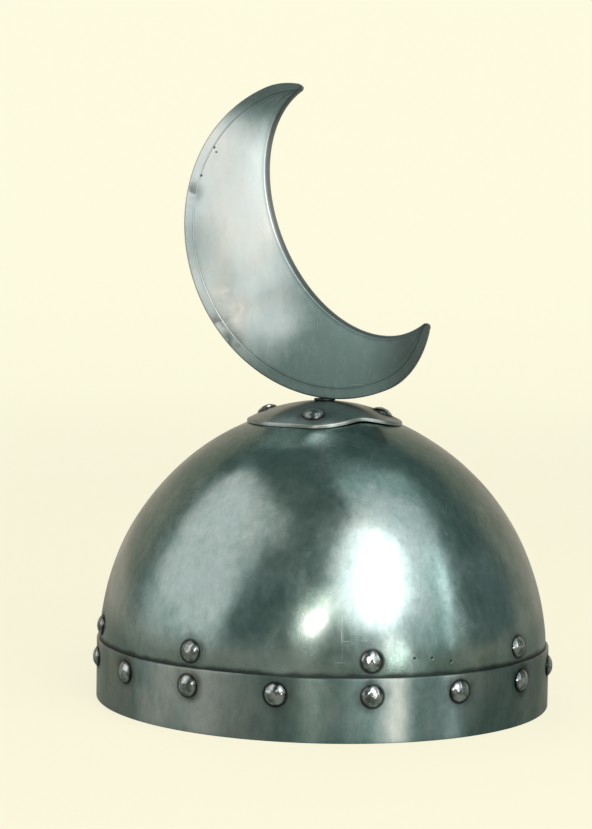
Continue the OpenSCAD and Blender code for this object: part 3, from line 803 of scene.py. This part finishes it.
DISC_R = 27 * MM
turn = np.arange(120) * TAU / 120
ring_r = np.concatenate([np.linspace(0, 1, 14), [1.012, 1.012], np.linspace(1, 0, 14)])
ring_r = ring_r[:, None] * DISC_R
ring_depth = np.concatenate([np.zeros(13), [0.15, 0.35, 0.7, 0.9], np.ones(13)])
ring_depth = ring_depth * LEATHER + LEATHER + LAY_GAP
x = ring_r * np.sin(turn) / 1.012
y = -ring_r * np.cos(turn) / 1.012
z = tongue_z2 + np.sqrt((tongue_r2 - ring_depth[:, None]) ** 2 - (x / TONGUE_OVAL) ** 2 - y ** 2)
disc = make_piece("liner_crown_leather", np.stack([x, y, z], -1), "helmet",
                  "liner_crown_disc", COLUMNS_CLOSED, crisp=60)

# %% Brass rivets in the disc
SMALL_RING = 20.5 * MM
SMALL_RIVET = (3.5 * MM, 1.4 * MM, 1.3 * MM, 3.5 * MM, 1.4 * MM)
small_z = tongue_z2 + np.sqrt(tongue_r2 ** 2 - SMALL_RING ** 2)
small_places = dome_places(8, 0.5, SMALL_RING, small_z, tongue_z2, TONGUE_OVAL)
brass = rivet_set("liner_crown", *small_places, 2 * (LEATHER + LAY_GAP) + LAY_GAP, SMALL_RIVET,
                  "rivet_brass", 14)


# %% Stitches along the liner band
STITCH_DOWN = 2.2 * MM
STITCH_STEP = 4.6 * MM
STITCH_LENGTH = 3.4 * MM
STITCH_THICK = 0.9 * MM


def stitch_row(z, depth):
    """Small lying beads, one per step round the oval: each a lathe grain with 6 sides."""
    count = int(TAU * HALF_L * 0.95 / STITCH_STEP)
    a = (np.arange(count) + 0.5) * TAU / count
    a = a[np.abs(a - TAU / 2) > 0.02]
    at = around(a, reach_at(z, depth), z, depth)
    ahead = around(a + 0.01, reach_at(z, depth), z, depth) - at
    grain = np.array([[0, -1], [0.6, -0.8], [1, -0.35], [1, 0.35], [0.6, 0.8], [0, 1]])
    grain = lathe(grain * [STITCH_THICK / 2, STITCH_LENGTH / 2], 6)
    shapes = np.repeat(grain[None], len(a), 0)
    return stand(shapes, at, unit(ahead))


beads = stitch_row(lb_high.z - STITCH_DOWN, LINER_OUT + LEATHER)
stitches = make_piece("liner_band_stitches", beads, "helmet",
                      closed=COLUMNS_CLOSED)


# %% [markdown]
# ## Finishes
# Worn steel is a metal whose colour, gloss and scratches all change from place to place. Noise
# textures on object coordinates give that without images: broad clouds for the way that the sheet
# was buffed and handled, narrow streaks for wiping, and very long thin noise for scratches. One
# helper places nodes, so that a finish reads like a short recipe.

# %% Node helpers
class Recipe:
    """A material's or a world's nodes, added one call at a time; inputs are values or sockets."""

    def __init__(self, block):
        self.block = block
        block.use_nodes = True
        self.tree = block.node_tree
        self.tree.nodes.clear()
        self.place = self.add("TexCoord").outputs["Object"]

    def add(self, kind, inputs=None, **settings):
        node = self.tree.nodes.new("ShaderNode" + kind)
        for key, value in settings.items():
            setattr(node, key, value)
        for key, value in (inputs or {}).items():
            if isinstance(value, bpy.types.NodeSocket):
                self.tree.links.new(value, node.inputs[key])
            else:
                node.inputs[key].default_value = value
        return node

    def stretched(self, scale, turn=(0, 0, 0)):
        """Object coordinates, turned and scaled."""
        inputs = {"Vector": self.place, "Rotation": turn, "Scale": scale}
        return self.add("Mapping", inputs, vector_type="POINT").outputs[0]

    def noise(self, scale, detail=4, rough=0.55, twist=0.0, where=None):
        """Noise from 0 to 1, scale cells to a metre."""
        inputs = {"Vector": where or self.place, "Scale": scale, "Detail": detail,
                  "Roughness": rough, "Distortion": twist}
        return self.add("TexNoise", inputs).outputs["Fac"]

    def span(self, value, low, high, to_low=0.0, to_high=1.0, smooth=True):
        """value taken from the span low to high to the span to_low to to_high."""
        inputs = {"Value": value, "From Min": low, "From Max": high,
                  "To Min": to_low, "To Max": to_high}
        kind = "SMOOTHSTEP" if smooth else "LINEAR"
        return self.add("MapRange", inputs, interpolation_type=kind).outputs["Result"]

    def math(self, operation, a, b=0.0, clamp=False):
        return self.add("Math", {0: a, 1: b}, operation=operation, use_clamp=clamp).outputs[0]

    def plus(self, a, b, clamp=False):
        return self.math("ADD", a, b, clamp)

    def times(self, a, b):
        return self.math("MULTIPLY", a, b)

    def most(self, value, *others):
        """The largest of several numbers."""
        for other in others:
            value = self.math("MAXIMUM", value, other)
        return value

    def stray(self, noise, height):
        """A noise moved to run from minus half of height to plus half of it."""
        return self.times(self.math("SUBTRACT", noise, 0.5), height)

    def mix(self, share, a, b):
        """Colour a where share is 0 and colour b where it is 1."""
        return self.add("Mix", {0: share, 6: a, 7: b}, data_type="RGBA").outputs[2]

    def noted(self, key):
        """A number that the piece keeps per point."""
        return self.add("Attribute", attribute_name=key).outputs["Fac"]

    def along(self, axis):
        """One of the three object coordinates."""
        return self.add("SeparateXYZ", {0: self.place}).outputs[axis]

    def bump(self, height, distance, strength=1.0, under=None):
        inputs = {"Height": height, "Distance": distance, "Strength": strength}
        if under is not None:
            inputs["Normal"] = under
        return self.add("Bump", inputs).outputs[0]

    def finish(self, inputs):
        shader = self.add("BsdfPrincipled", inputs)
        self.add("OutputMaterial", {"Surface": shader.outputs[0]})
        return self.block


def recipe(name):
    """An empty recipe for a new material."""
    return Recipe(bpy.data.materials.new(name))


def tint(colour, factor=1.0):
    """A colour times one number or three, none above 1, with its alpha."""
    return (*np.minimum(1, np.array(colour) * factor), 1)


def wear(material, *pieces):
    """Gives pieces their finish."""
    for piece in pieces:
        piece.data.materials.clear()
        piece.data.materials.append(material)
    print(f"{material.name}: {len(material.node_tree.nodes)} nodes, {len(pieces)} pieces")


# %% [markdown]
# ## Steel
# Every sheet gets the same recipe with its own colours: dark where the old bloom is left, paler
# where it was buffed, in clouds as wide as a hand. A fine grain breaks the clouds up, a few long
# scratches cross them, and dirt with painted shade gathers round the rivets. Painted shade lies
# above the band. Pale spots with soft wandering borders are painted highlights. A painted fall of
# light and shade darkens the cap's top and the crescent's front and horns, and painted shade
# darkens the crescent's edges and crease.

# %% Clouds, scratches and spots
# The parts that wide clouds, narrow streaks and fine mottle play; they add up to 1
CLOUD, STREAK, MOTTLE = 0.72, 0.16, 0.12


def clouded(r, clouds, balance, width):
    """0 where the bloom is left and 1 where the steel was buffed: wide clouds, streaky edges."""
    cloud = r.noise(clouds, 2.0, 0.45, 0.9)
    streak = r.noise(1.0, 3, 0.5, 0.3, r.stretched((95, 95, 20), (0.2, 0.15, 0)))
    share = r.plus(r.times(cloud, CLOUD), r.times(streak, STREAK))
    share = r.plus(share, r.times(r.noise(80, 5, 0.6, 0.4), MOTTLE))
    return r.span(share, balance - width, balance + width)


SCRATCHES = [((1500, 45, 45), (0.3, 0.2, 0.5), 0.71), ((45, 45, 1500), (0.4, -0.3, 0.2), 0.71),
             ((35, 1200, 35), (-0.6, 0.3, -0.4), 0.72)]


def scratched(r):
    """1 on a few long fine scratches in three directions, and 0 elsewhere."""
    cuts = 0.0
    for scale, turn, rare in SCRATCHES:
        hairs = r.noise(1.0, 2, 0.5, 0.0, r.stretched(scale, turn))
        cuts = r.most(r.span(hairs, rare, rare + 0.08), cuts)
    return r.times(cuts, r.span(r.noise(30, 2), 0.45, 0.65, 0.1))


def spots(r, places, radius, edge=0.4, wander=0.0, here=None):
    """1 inside round spots at the given places and 0 outside, with a soft edge that may wander."""
    total = 0.0
    stray = r.stray(r.noise(42, 4, 0.6, 0.9), wander) if wander else 0.0
    for place in places:
        ends = {0: here or r.place, 1: tuple(place)}
        gap = r.plus(r.add("VectorMath", ends, operation="DISTANCE").outputs["Value"], stray)
        total = r.most(r.span(gap, radius * (1 + edge), radius * (1 - edge)), total)
    return total


# %% Worn sheet steel
# Dark colour for dirt, pits, and the painted shade round rivets and above the band
DIRT_AND_SHADE = (0.020, 0.024, 0.022, 1)
# Colour of the painted shade on the crescent, and of its smudges
SHADE_AND_SMUDGE = (0.022, 0.032, 0.031, 1)


def dirt_and_shade_on(r, stains_and_shade, band_shade_z):
    """Dirt specks; where asked, dirt and painted shade round rivets, and painted shade above the
    band.
    """
    speck = r.span(r.noise(420, 3, 0.6), 0.71, 0.78)
    dirt_and_shade = r.times(r.times(speck, r.span(r.noise(24, 3), 0.52, 0.66)), 0.7)
    if stains_and_shade:
        # Round each rivet: a broken halo of dirt and painted shade, and a tight ring of painted
        # contact shadow
        near = r.plus(r.noted("to_rivet"), r.times(r.noise(160, 4), 0.006))
        halo = r.times(r.span(near, 0.0140, 0.0085), r.span(r.noise(60, 4), 0.35, 0.7, 0.15, 0.75))
        dirt_and_shade = r.most(dirt_and_shade, halo, r.span(r.noted("to_rivet"), 0.0072, 0.0057, 0, 0.9))
    # Painted shade: a dark wavy line just above the band's top edge
    if band_shade_z:
        wavy = r.plus(r.along("Z"), r.times(r.noise(90, 4), -0.0035))
        dirt_and_shade = r.most(dirt_and_shade, r.span(wavy, band_shade_z + 0.0016, band_shade_z - 0.0010, 0, 0.85))
    return dirt_and_shade


def worn_steel(name, dark, pale, clouds, gloss=(0.16, 0.30), balance=0.5, width=0.2,
               stains_and_shade=True, band_shade_z=None, pits=(), painted_shading=None, painted_highlights=None, shade=None, warm=None,
               metallic=1.0, brushed=0.0, grit=0.22):
    """Clouds mix the dark and the pale tone; grain, scratches, dirt, pits, painted highlights and
    painted shade break them up.
    """
    r = recipe(name)
    share = clouded(r, clouds, balance, width)
    # Painted light and shade: a share that some recipes multiply in
    share = r.times(share, painted_shading(r)) if painted_shading else share
    # Painted highlights: spots where the share is made pale
    share = r.most(share, painted_highlights(r)) if painted_highlights else share
    grain = r.noise(1.0, 9, 0.78, 0.0, r.stretched((230, 230, 120), (0.35, -0.25, 0)))
    share = r.plus(share, r.span(grain, 0.3, 0.7, -grit, grit, smooth=False), clamp=True)
    hue = r.span(r.noise(13, 3, 0.5, 0.6), 0.45, 0.68)
    hue = r.most(hue, warm(r)) if warm else hue
    buff = r.mix(hue, tint(pale, (0.95, 1.0, 1.03)), tint(pale, (1.09, 1.01, 0.97)))
    colour = r.mix(share, tint(dark), buff)
    rough = r.span(r.noise(48, 5, 0.62, 0.3), 0.28, 0.72, *gloss)
    cuts = scratched(r)
    colour = r.mix(r.times(cuts, 0.36), colour, tint(pale, 1.5))
    rough = r.plus(rough, r.times(cuts, 0.12))
    pitted = spots(r, pits, 0.0007)
    # Dirt, pits and painted shade together darken the colour and roughen it
    dirt_and_shade = r.most(dirt_and_shade_on(r, stains_and_shade, band_shade_z), r.times(pitted, 0.9))
    colour = r.mix(dirt_and_shade, colour, DIRT_AND_SHADE)
    # Painted shade where a recipe gives it
    colour = r.mix(shade(r), colour, SHADE_AND_SMUDGE) if shade else colour
    rough = r.plus(rough, r.times(dirt_and_shade, 0.22), clamp=True)
    normal = r.bump(r.noise(520, 3, 0.6), 0.00002, 0.5)
    normal = r.bump(r.plus(cuts, r.times(pitted, 6.0)), -0.00003, 0.6, normal)
    inputs = {"Base Color": colour, "Metallic": metallic, "Roughness": rough, "Normal": normal}
    if brushed:
        around_z = r.add("Tangent", direction_type="RADIAL", axis="Z").outputs[0]
        inputs.update({"Anisotropic": brushed, "Anisotropic Rotation": 0.25, "Tangent": around_z})
    return r.finish(inputs)


# %% Skull, band and plate
# Places of painted highlights on the cap, and of one small painted glint
SKULL_HIGHLIGHT_SPOTS = np.array([[-90, 43, 74], [-74, 34, 106], [-90, -43, 70], [-78, -44, 94], [90, 40, 70],
                   [86, -52, 78]]) * MM
GLINT_SPOT = [(-0.102, -0.018, 0.056)]
# Places of painted highlight streaks on the band
BAND_HIGHLIGHT_SPOTS = [(-0.097, -0.057, 0), (-0.079, 0.086, 0), (0.062, -0.100, 0), (0.104, 0.038, 0),
               (0.020, 0.119, 0)]
PUNCH_Z = np.array([40.5, 40.0, 37.9]) * MM
PUNCHED = around(np.radians([-56.9, -52.3, -47.0]), reach_at(PUNCH_Z, 0), PUNCH_Z, 0)


def skull_painted_shade(r):
    """Painted shade: darker towards the crown plate, with a wandering border."""
    up = r.plus(r.along("Z"), r.stray(r.noise(18, 3, 0.5, 0.6), 0.030))
    return r.span(up, 0.100, 0.128, 0.85, 0.25)


def skull_painted_highlights(r):
    """Painted highlights: pale patches, two on each side, and a small painted glint, with smeared
    borders.
    """
    wide = r.times(spots(r, SKULL_HIGHLIGHT_SPOTS, 0.026, 0.5, 0.034), 0.68)
    return r.most(wide, spots(r, GLINT_SPOT, 0.009, 0.7, 0.012))


def band_painted_highlights(r):
    """Painted highlights: pale, warm upright streaks on the band; the distance is measured in plan
    only.
    """
    plan = r.add("VectorMath", {0: r.place, 1: (1, 1, 0)}, operation="MULTIPLY").outputs[0]
    return r.times(spots(r, BAND_HIGHLIGHT_SPOTS, 0.0085, 0.8, 0.006, plan), 0.75)


wear(worn_steel("skull steel", (0.112, 0.187, 0.168), (0.345, 0.408, 0.392), 9.5, band_shade_z=BAND_H,
                pits=PUNCHED, painted_shading=skull_painted_shade, painted_highlights=skull_painted_highlights), skull)
wear(worn_steel("band steel", (0.090, 0.158, 0.144), (0.31, 0.37, 0.35), 13.0, (0.34, 0.43),
                painted_highlights=band_painted_highlights, warm=band_painted_highlights, brushed=1.0), band)
wear(worn_steel("crown plate steel", (0.19, 0.24, 0.23), (0.35, 0.40, 0.385), 16.0,
                (0.26, 0.38)), plate)

# %% Crescent
CREST_PITS = np.array([[-4.0, 60.2, 289.7], [-4.1, 59.1, 287.3], [-4.0, 67.2, 275.0]]) * MM
CREST_SMUDGES = np.array([[-3.8, 73.4, 266.3], [-3.8, 57.5, 196.0], [-3.8, 51.0, 187.5],
                          [3.8, 62.0, 200.0]]) * MM


def crest_wander(r, axis, height):
    """One object coordinate of the crescent, wandering a little from place to place."""
    return r.plus(r.along(axis), r.stray(r.noise(22, 3, 0.5, 0.6), height))


def crest_painted_light(r):
    """Painted light and shade: full over the crescent's back, fading towards its front and both
    horns.
    """
    behind = crest_wander(r, "Y", 0.030)
    up = crest_wander(r, "Z", 0.020)
    lean = r.math("SUBTRACT", up, r.times(behind, 0.4))
    share = r.times(r.span(behind, -0.002, 0.034), r.span(up, 0.172, 0.200))
    share = r.times(share, r.span(lean, 0.300, 0.270))
    # One round spot is made darker
    dim_spot = spots(r, [(0, 0.069, 0.238)], 0.014, 0.8)
    return r.times(share, r.math("SUBTRACT", 1.0, r.times(dim_spot, 0.36)))


def crest_shade(r):
    """Painted shade on the edges, the crease, the hollow's slope and the horn tips, and smudges."""
    across = r.noted("across")
    # Painted shade: a dark outline along the outer edge and down the hollow's slope
    edge = r.most(r.span(across, 0.20, 0.0, 0, 0.85), r.span(across, 4.08, 4.45, 0, 0.76))
    # Painted shade in the crease, and over the bright lip beside it
    crease = r.times(r.span(across, 0.97, 1.02), r.span(across, 1.14, 1.06, 0, 0.60))
    beside = r.times(r.span(across, 0.80, 0.90), r.span(across, 1.02, 0.99, 0, 0.30))
    # Painted shade towards both horn tips
    low_horn = r.span(crest_wander(r, "Y", 0.012), -0.016, -0.050, 0, 0.78)
    high_horn = r.span(crest_wander(r, "Z", 0.008), 0.300, 0.318, 0, 0.62)
    broken = r.span(r.noise(150, 4), 0.36, 0.62, 0, 0.7)
    smudge = r.times(spots(r, CREST_SMUDGES, 0.0055, 0.9), broken)
    return r.most(low_horn, high_horn, edge, crease, beside, smudge)


def crest_warm_highlight(r):
    """Painted warm highlight: a pale warm patch low on the crescent's back."""
    return spots(r, [(0, 0.054, 0.214), (0, 0.048, 0.202)], 0.010, 0.8, 0.026)


wear(worn_steel("crescent steel", (0.105, 0.168, 0.166), (0.59, 0.675, 0.695), 12.0,
                (0.40, 0.50), 0.34, 0.24, stains_and_shade=False, pits=CREST_PITS, painted_shading=crest_painted_light,
                painted_highlights=crest_warm_highlight, shade=crest_shade, warm=crest_warm_highlight, metallic=0.55, grit=0.09),
     right, left)


# %% Bright and dark hardware
def forged_steel(name, colour, low_gloss, high_gloss, dull):
    """Plain worked metal: one tone, broken by smudges, with painted shade where a rivet's head ends.
    """
    r = recipe(name)
    tone = r.mix(r.span(r.noise(230, 5, 0.6, 0.3), 0.36, 0.66), tint(colour, dull), tint(colour))
    # Painted shade: heads darken towards their edge, and shanks and tails are dark
    tone = r.mix(r.span(r.noted("rim"), 0.80, 0.99, 0, 0.85), tone, (0.03, 0.035, 0.034, 1))
    rough = r.span(r.noise(320, 4), 0.3, 0.7, low_gloss, high_gloss)
    normal = r.bump(r.noise(900, 3), 0.00003, 0.5)
    return r.finish({"Base Color": tone, "Metallic": 1.0, "Roughness": rough, "Normal": normal})


wear(forged_steel("rivet steel", (0.44, 0.50, 0.49), 0.12, 0.24, 0.28), *steel_rivets)
wear(forged_steel("stem steel", (0.05, 0.055, 0.055), 0.35, 0.55, 0.5), stem, weld)
wear(forged_steel("hardware steel", (0.55, 0.56, 0.55), 0.22, 0.38, 0.7),
     *nuts, crest_washer, liner_washers)
wear(forged_steel("rivet brass", (0.62, 0.48, 0.22), 0.22, 0.38, 0.6), brass)


# %% [markdown]
# ## Leather
# Vegetable-tanned leather is brown, darker where hands and sweat have been, and its grain is a
# network of fine creases. A Voronoi texture's cell borders make that grain, and a larger noise
# wrinkles the surface under it. The stitches are pale linen thread.

# %% Leather and thread
def tanned_leather(name, dark, pale):
    """Grain from cell borders, broad stains from noise, and a soft sheen."""
    r = recipe(name)
    stain = r.noise(26, 5, 0.6, 0.5)
    share = r.plus(r.times(stain, 0.75), r.times(r.noise(480, 4, 0.6), 0.25))
    tone = r.mix(r.span(share, 0.38, 0.64), tint(dark), tint(pale))
    cells = r.add("TexVoronoi", {"Vector": r.place, "Scale": 900.0, "Randomness": 1.0},
                  feature="DISTANCE_TO_EDGE").outputs["Distance"]
    normal = r.bump(r.noise(70, 5, 0.6, 0.6), 0.0006, 0.5)
    normal = r.bump(r.span(cells, 0.0, 0.18), 0.00012, 0.6, normal)
    rough = r.span(stain, 0.3, 0.7, 0.48, 0.66)
    return r.finish({"Base Color": tone, "Roughness": rough, "Normal": normal,
                     "Specular IOR Level": 0.45})


def waxed_thread(name, colour):
    """Pale linen thread with a twist of fine noise."""
    r = recipe(name)
    tone = r.mix(r.noise(700, 3), tint(colour, 0.6), tint(colour))
    normal = r.bump(r.noise(2600, 2), 0.00008, 0.5)
    return r.finish({"Base Color": tone, "Roughness": 0.7, "Normal": normal})


wear(tanned_leather("liner leather", (0.085, 0.042, 0.018), (0.21, 0.11, 0.050)), liner_band, disc)
wear(tanned_leather("tongue leather", (0.13, 0.068, 0.030), (0.30, 0.17, 0.080)), *tongues)
wear(waxed_thread("waxed thread", (0.55, 0.47, 0.33)), stitches)


# %% [markdown]
# ## Camera
# The photograph looks at the helmet's right side from a little in front and a little above the
# crown. The focal length is given in pixels of the photograph, and the camera is rolled by a
# fraction of a degree. Its three axes go straight into its matrix.

# %% Camera
AZIMUTH, ELEVATION, ROLL = np.radians([-77.5, 4.26, 0.72])
VIEW_DISTANCE = 1.0604
AIM_ASIDE = -0.0150
AIM_UP = 0.14995
FOCAL_PX = 2011.5
IMAGE_WIDTH_PX = 592

side = np.array([np.cos(AZIMUTH), np.sin(AZIMUTH), 0])
back = np.array([np.sin(AZIMUTH) * np.cos(ELEVATION), -np.cos(AZIMUTH) * np.cos(ELEVATION),
                 np.sin(ELEVATION)])
up = np.cross(back, side)
placing = np.eye(4)
placing[:3, 0] = np.cos(ROLL) * side + np.sin(ROLL) * up
placing[:3, 1] = np.cos(ROLL) * up - np.sin(ROLL) * side
placing[:3, 2] = back
placing[:3, 3] = AIM_ASIDE * side + [0, 0, AIM_UP] + VIEW_DISTANCE * back
lens = bpy.data.cameras.new("photo camera")
lens.sensor_fit = "HORIZONTAL"
lens.lens = FOCAL_PX * lens.sensor_width / IMAGE_WIDTH_PX
camera = bpy.data.objects.new("photo camera", lens)
camera.matrix_world = Matrix(placing.tolist())
bpy.context.scene.collection.objects.link(camera)
bpy.context.scene.camera = camera
print("camera at", np.round(placing[:3, 3], 3))


# %% [markdown]
# ## Floor and backdrop
# A studio sweep is one sheet that lies flat and then curves up behind the object, so that no
# horizon shows. Its colour is the photograph's cream. Most of it shines by itself for the camera,
# and the rest is lit by the lamps, so the object's soft shadow stays on it. In the photograph the
# steel mirrors a dim studio, so reflections show the sweep in half light, and the floor close by
# darker still. From below the sheet is clear, so that the helmet can be looked into.

# %% Studio sweep
CREAM = (0.974, 0.946, 0.738, 1)
HALF_LIGHT = (0.600, 0.520, 0.430, 1)
# Painted shadow: the floor close to the helmet looks darker in reflections
NEAR_SHADE = (0.235, 0.260, 0.230, 1)
SHINING = 0.86
SWEEP_BACK = 3.4
SWEEP_FRONT = 2.2
SWEEP_CURVE = 1.2
SWEEP_TOP = 4.2
SWEEP_HALF = 7.0

view_flat = unit(back * [1, 1, 0])
bend = np.linspace(0, TAU / 4, 16)
run = SWEEP_BACK - SWEEP_CURVE + SWEEP_CURVE * np.sin(bend)
run = np.concatenate([[-SWEEP_FRONT, 0], run, [SWEEP_BACK]])
rise = np.concatenate([[0, 0], SWEEP_CURVE * (1 - np.cos(bend)), [SWEEP_TOP]])
wide = np.linspace(-SWEEP_HALF, SWEEP_HALF, 9)
sheet = (-view_flat * run[:, None, None] + side * wide[None, :, None]
         + np.array([0, 0, 1.0]) * rise[:, None, None])
sweep_mesh = bpy.data.meshes.new("studio_sweep")
sweep_mesh.from_pydata(sheet.reshape(-1, 3).tolist(), [], grid_faces(sheet.shape[:-1]).tolist())
sweep_mesh.polygons.foreach_set("use_smooth", np.ones(len(sweep_mesh.polygons), bool))
sweep = bpy.data.objects.new("studio_sweep", sweep_mesh)
bpy.context.scene.collection.objects.link(sweep)

r = recipe("cream sweep")
path = r.add("LightPath").outputs
mirrored = r.most(path["Is Glossy Ray"], path["Is Transmission Ray"])
seen = r.most(path["Is Camera Ray"], mirrored)
away = r.add("VectorMath", {0: r.place}, operation="LENGTH").outputs["Value"]
# Reflections show the sweep in half light, with a painted shadow close to the helmet
shown = r.mix(mirrored, CREAM, r.mix(r.span(away, 0.15, 1.1), NEAR_SHADE, HALF_LIGHT))
strength = r.span(away, 0.2, 3.2, 0.965, 1.10)
shine = r.add("Emission", {"Color": shown, "Strength": strength}).outputs[0]
matt = r.add("BsdfDiffuse", {"Color": CREAM}).outputs[0]
both = r.add("MixShader", {0: r.times(seen, SHINING), 1: matt, 2: shine}).outputs[0]
clear = r.add("BsdfTransparent").outputs[0]
from_below = r.add("NewGeometry").outputs["Backfacing"]
surface = r.add("MixShader", {0: from_below, 1: both, 2: clear}).outputs[0]
r.add("OutputMaterial", {"Surface": surface})
wear(r.block, sweep)


# %% [markdown]
# ## Light
# Steel shows its lights as much as itself, so each lamp is placed by what the cap mirrors. A large
# dim softbox stands high to the right of the camera, and its lean gives the sharp line on the cap's
# right. A round bright one with a brighter kernel stands before it, and a narrow one beside it. One
# more hangs behind the crown, a wide one stands far to the left, and two small warm lamps leave
# glints low down. The world is a dim blue-green studio, but the camera sees the sweep's cream.

# %% Lamps
HEART = np.array([0, 0, 0.12])


def softbox(name, turn, lift, distance, width, height, power, colour, lean=0, shape="RECTANGLE"):
    """An area lamp, turn degrees right of the camera, lift above the horizon, top leaning right."""
    turn, lift, lean = np.radians([turn, lift, lean])
    level = np.cos(turn) * view_flat + np.sin(turn) * side
    way = np.cos(lift) * level + np.array([0, 0, np.sin(lift)])
    lamp = bpy.data.lights.new(name, "AREA")
    lamp.shape = shape
    lamp.size, lamp.size_y = width, height
    lamp.energy = power
    lamp.color = colour
    obj = bpy.data.objects.new(name, lamp)
    obj.location = HEART + way * distance
    facing = Vector(way).to_track_quat("Z", "Y").to_matrix() @ Matrix.Rotation(-lean, 3, "Z")
    obj.rotation_euler = facing.to_euler()
    bpy.context.scene.collection.objects.link(obj)
    print(f"{name}: {power} W, {width} x {height} m")


softbox("key softbox", 47, 41.5, 1.60, 1.20, 2.75, 12.0, (1.0, 0.96, 0.97), 20)
softbox("key softbox core", 22, 31, 1.55, 1.00, 1.36, 10.4, (1.0, 0.91, 0.90), 15, "ELLIPSE")
softbox("key softbox kernel", 22, 27, 1.52, 0.52, 0.78, 2.4, (1.0, 0.95, 0.93), 15, "ELLIPSE")
softbox("key softbox edge", 60, 18, 1.58, 0.20, 1.05, 1.9, (1.0, 0.97, 0.99), 8)
softbox("rear softbox", -162, 60, 1.60, 0.36, 0.30, 3.6, (1.0, 0.94, 0.97))
softbox("left softbox", -76, 30, 1.70, 1.80, 2.10, 14.6, (1.0, 0.885, 0.865))
softbox("small lamp", -8, 14, 1.80, 0.18, 0.80, 4.6, (1.0, 0.86, 0.76), 31, "ELLIPSE")
softbox("low strip lamp", 29, -2.2, 1.50, 0.20, 0.12, 2.0, (1.0, 0.84, 0.80))

# %% World
world = Recipe(bpy.data.worlds.new("studio"))
studio = world.add("Background", {"Color": (0.72, 0.88, 0.84, 1), "Strength": 0.33}).outputs[0]
beyond = world.add("Background", {"Color": CREAM}).outputs[0]
sight = world.add("LightPath").outputs["Is Camera Ray"]
surround = world.add("MixShader", {0: sight, 1: studio, 2: beyond}).outputs[0]
world.add("OutputWorld", {"Surface": surround})
bpy.context.scene.world = world.block
bpy.context.scene.view_settings.view_transform = "Standard"
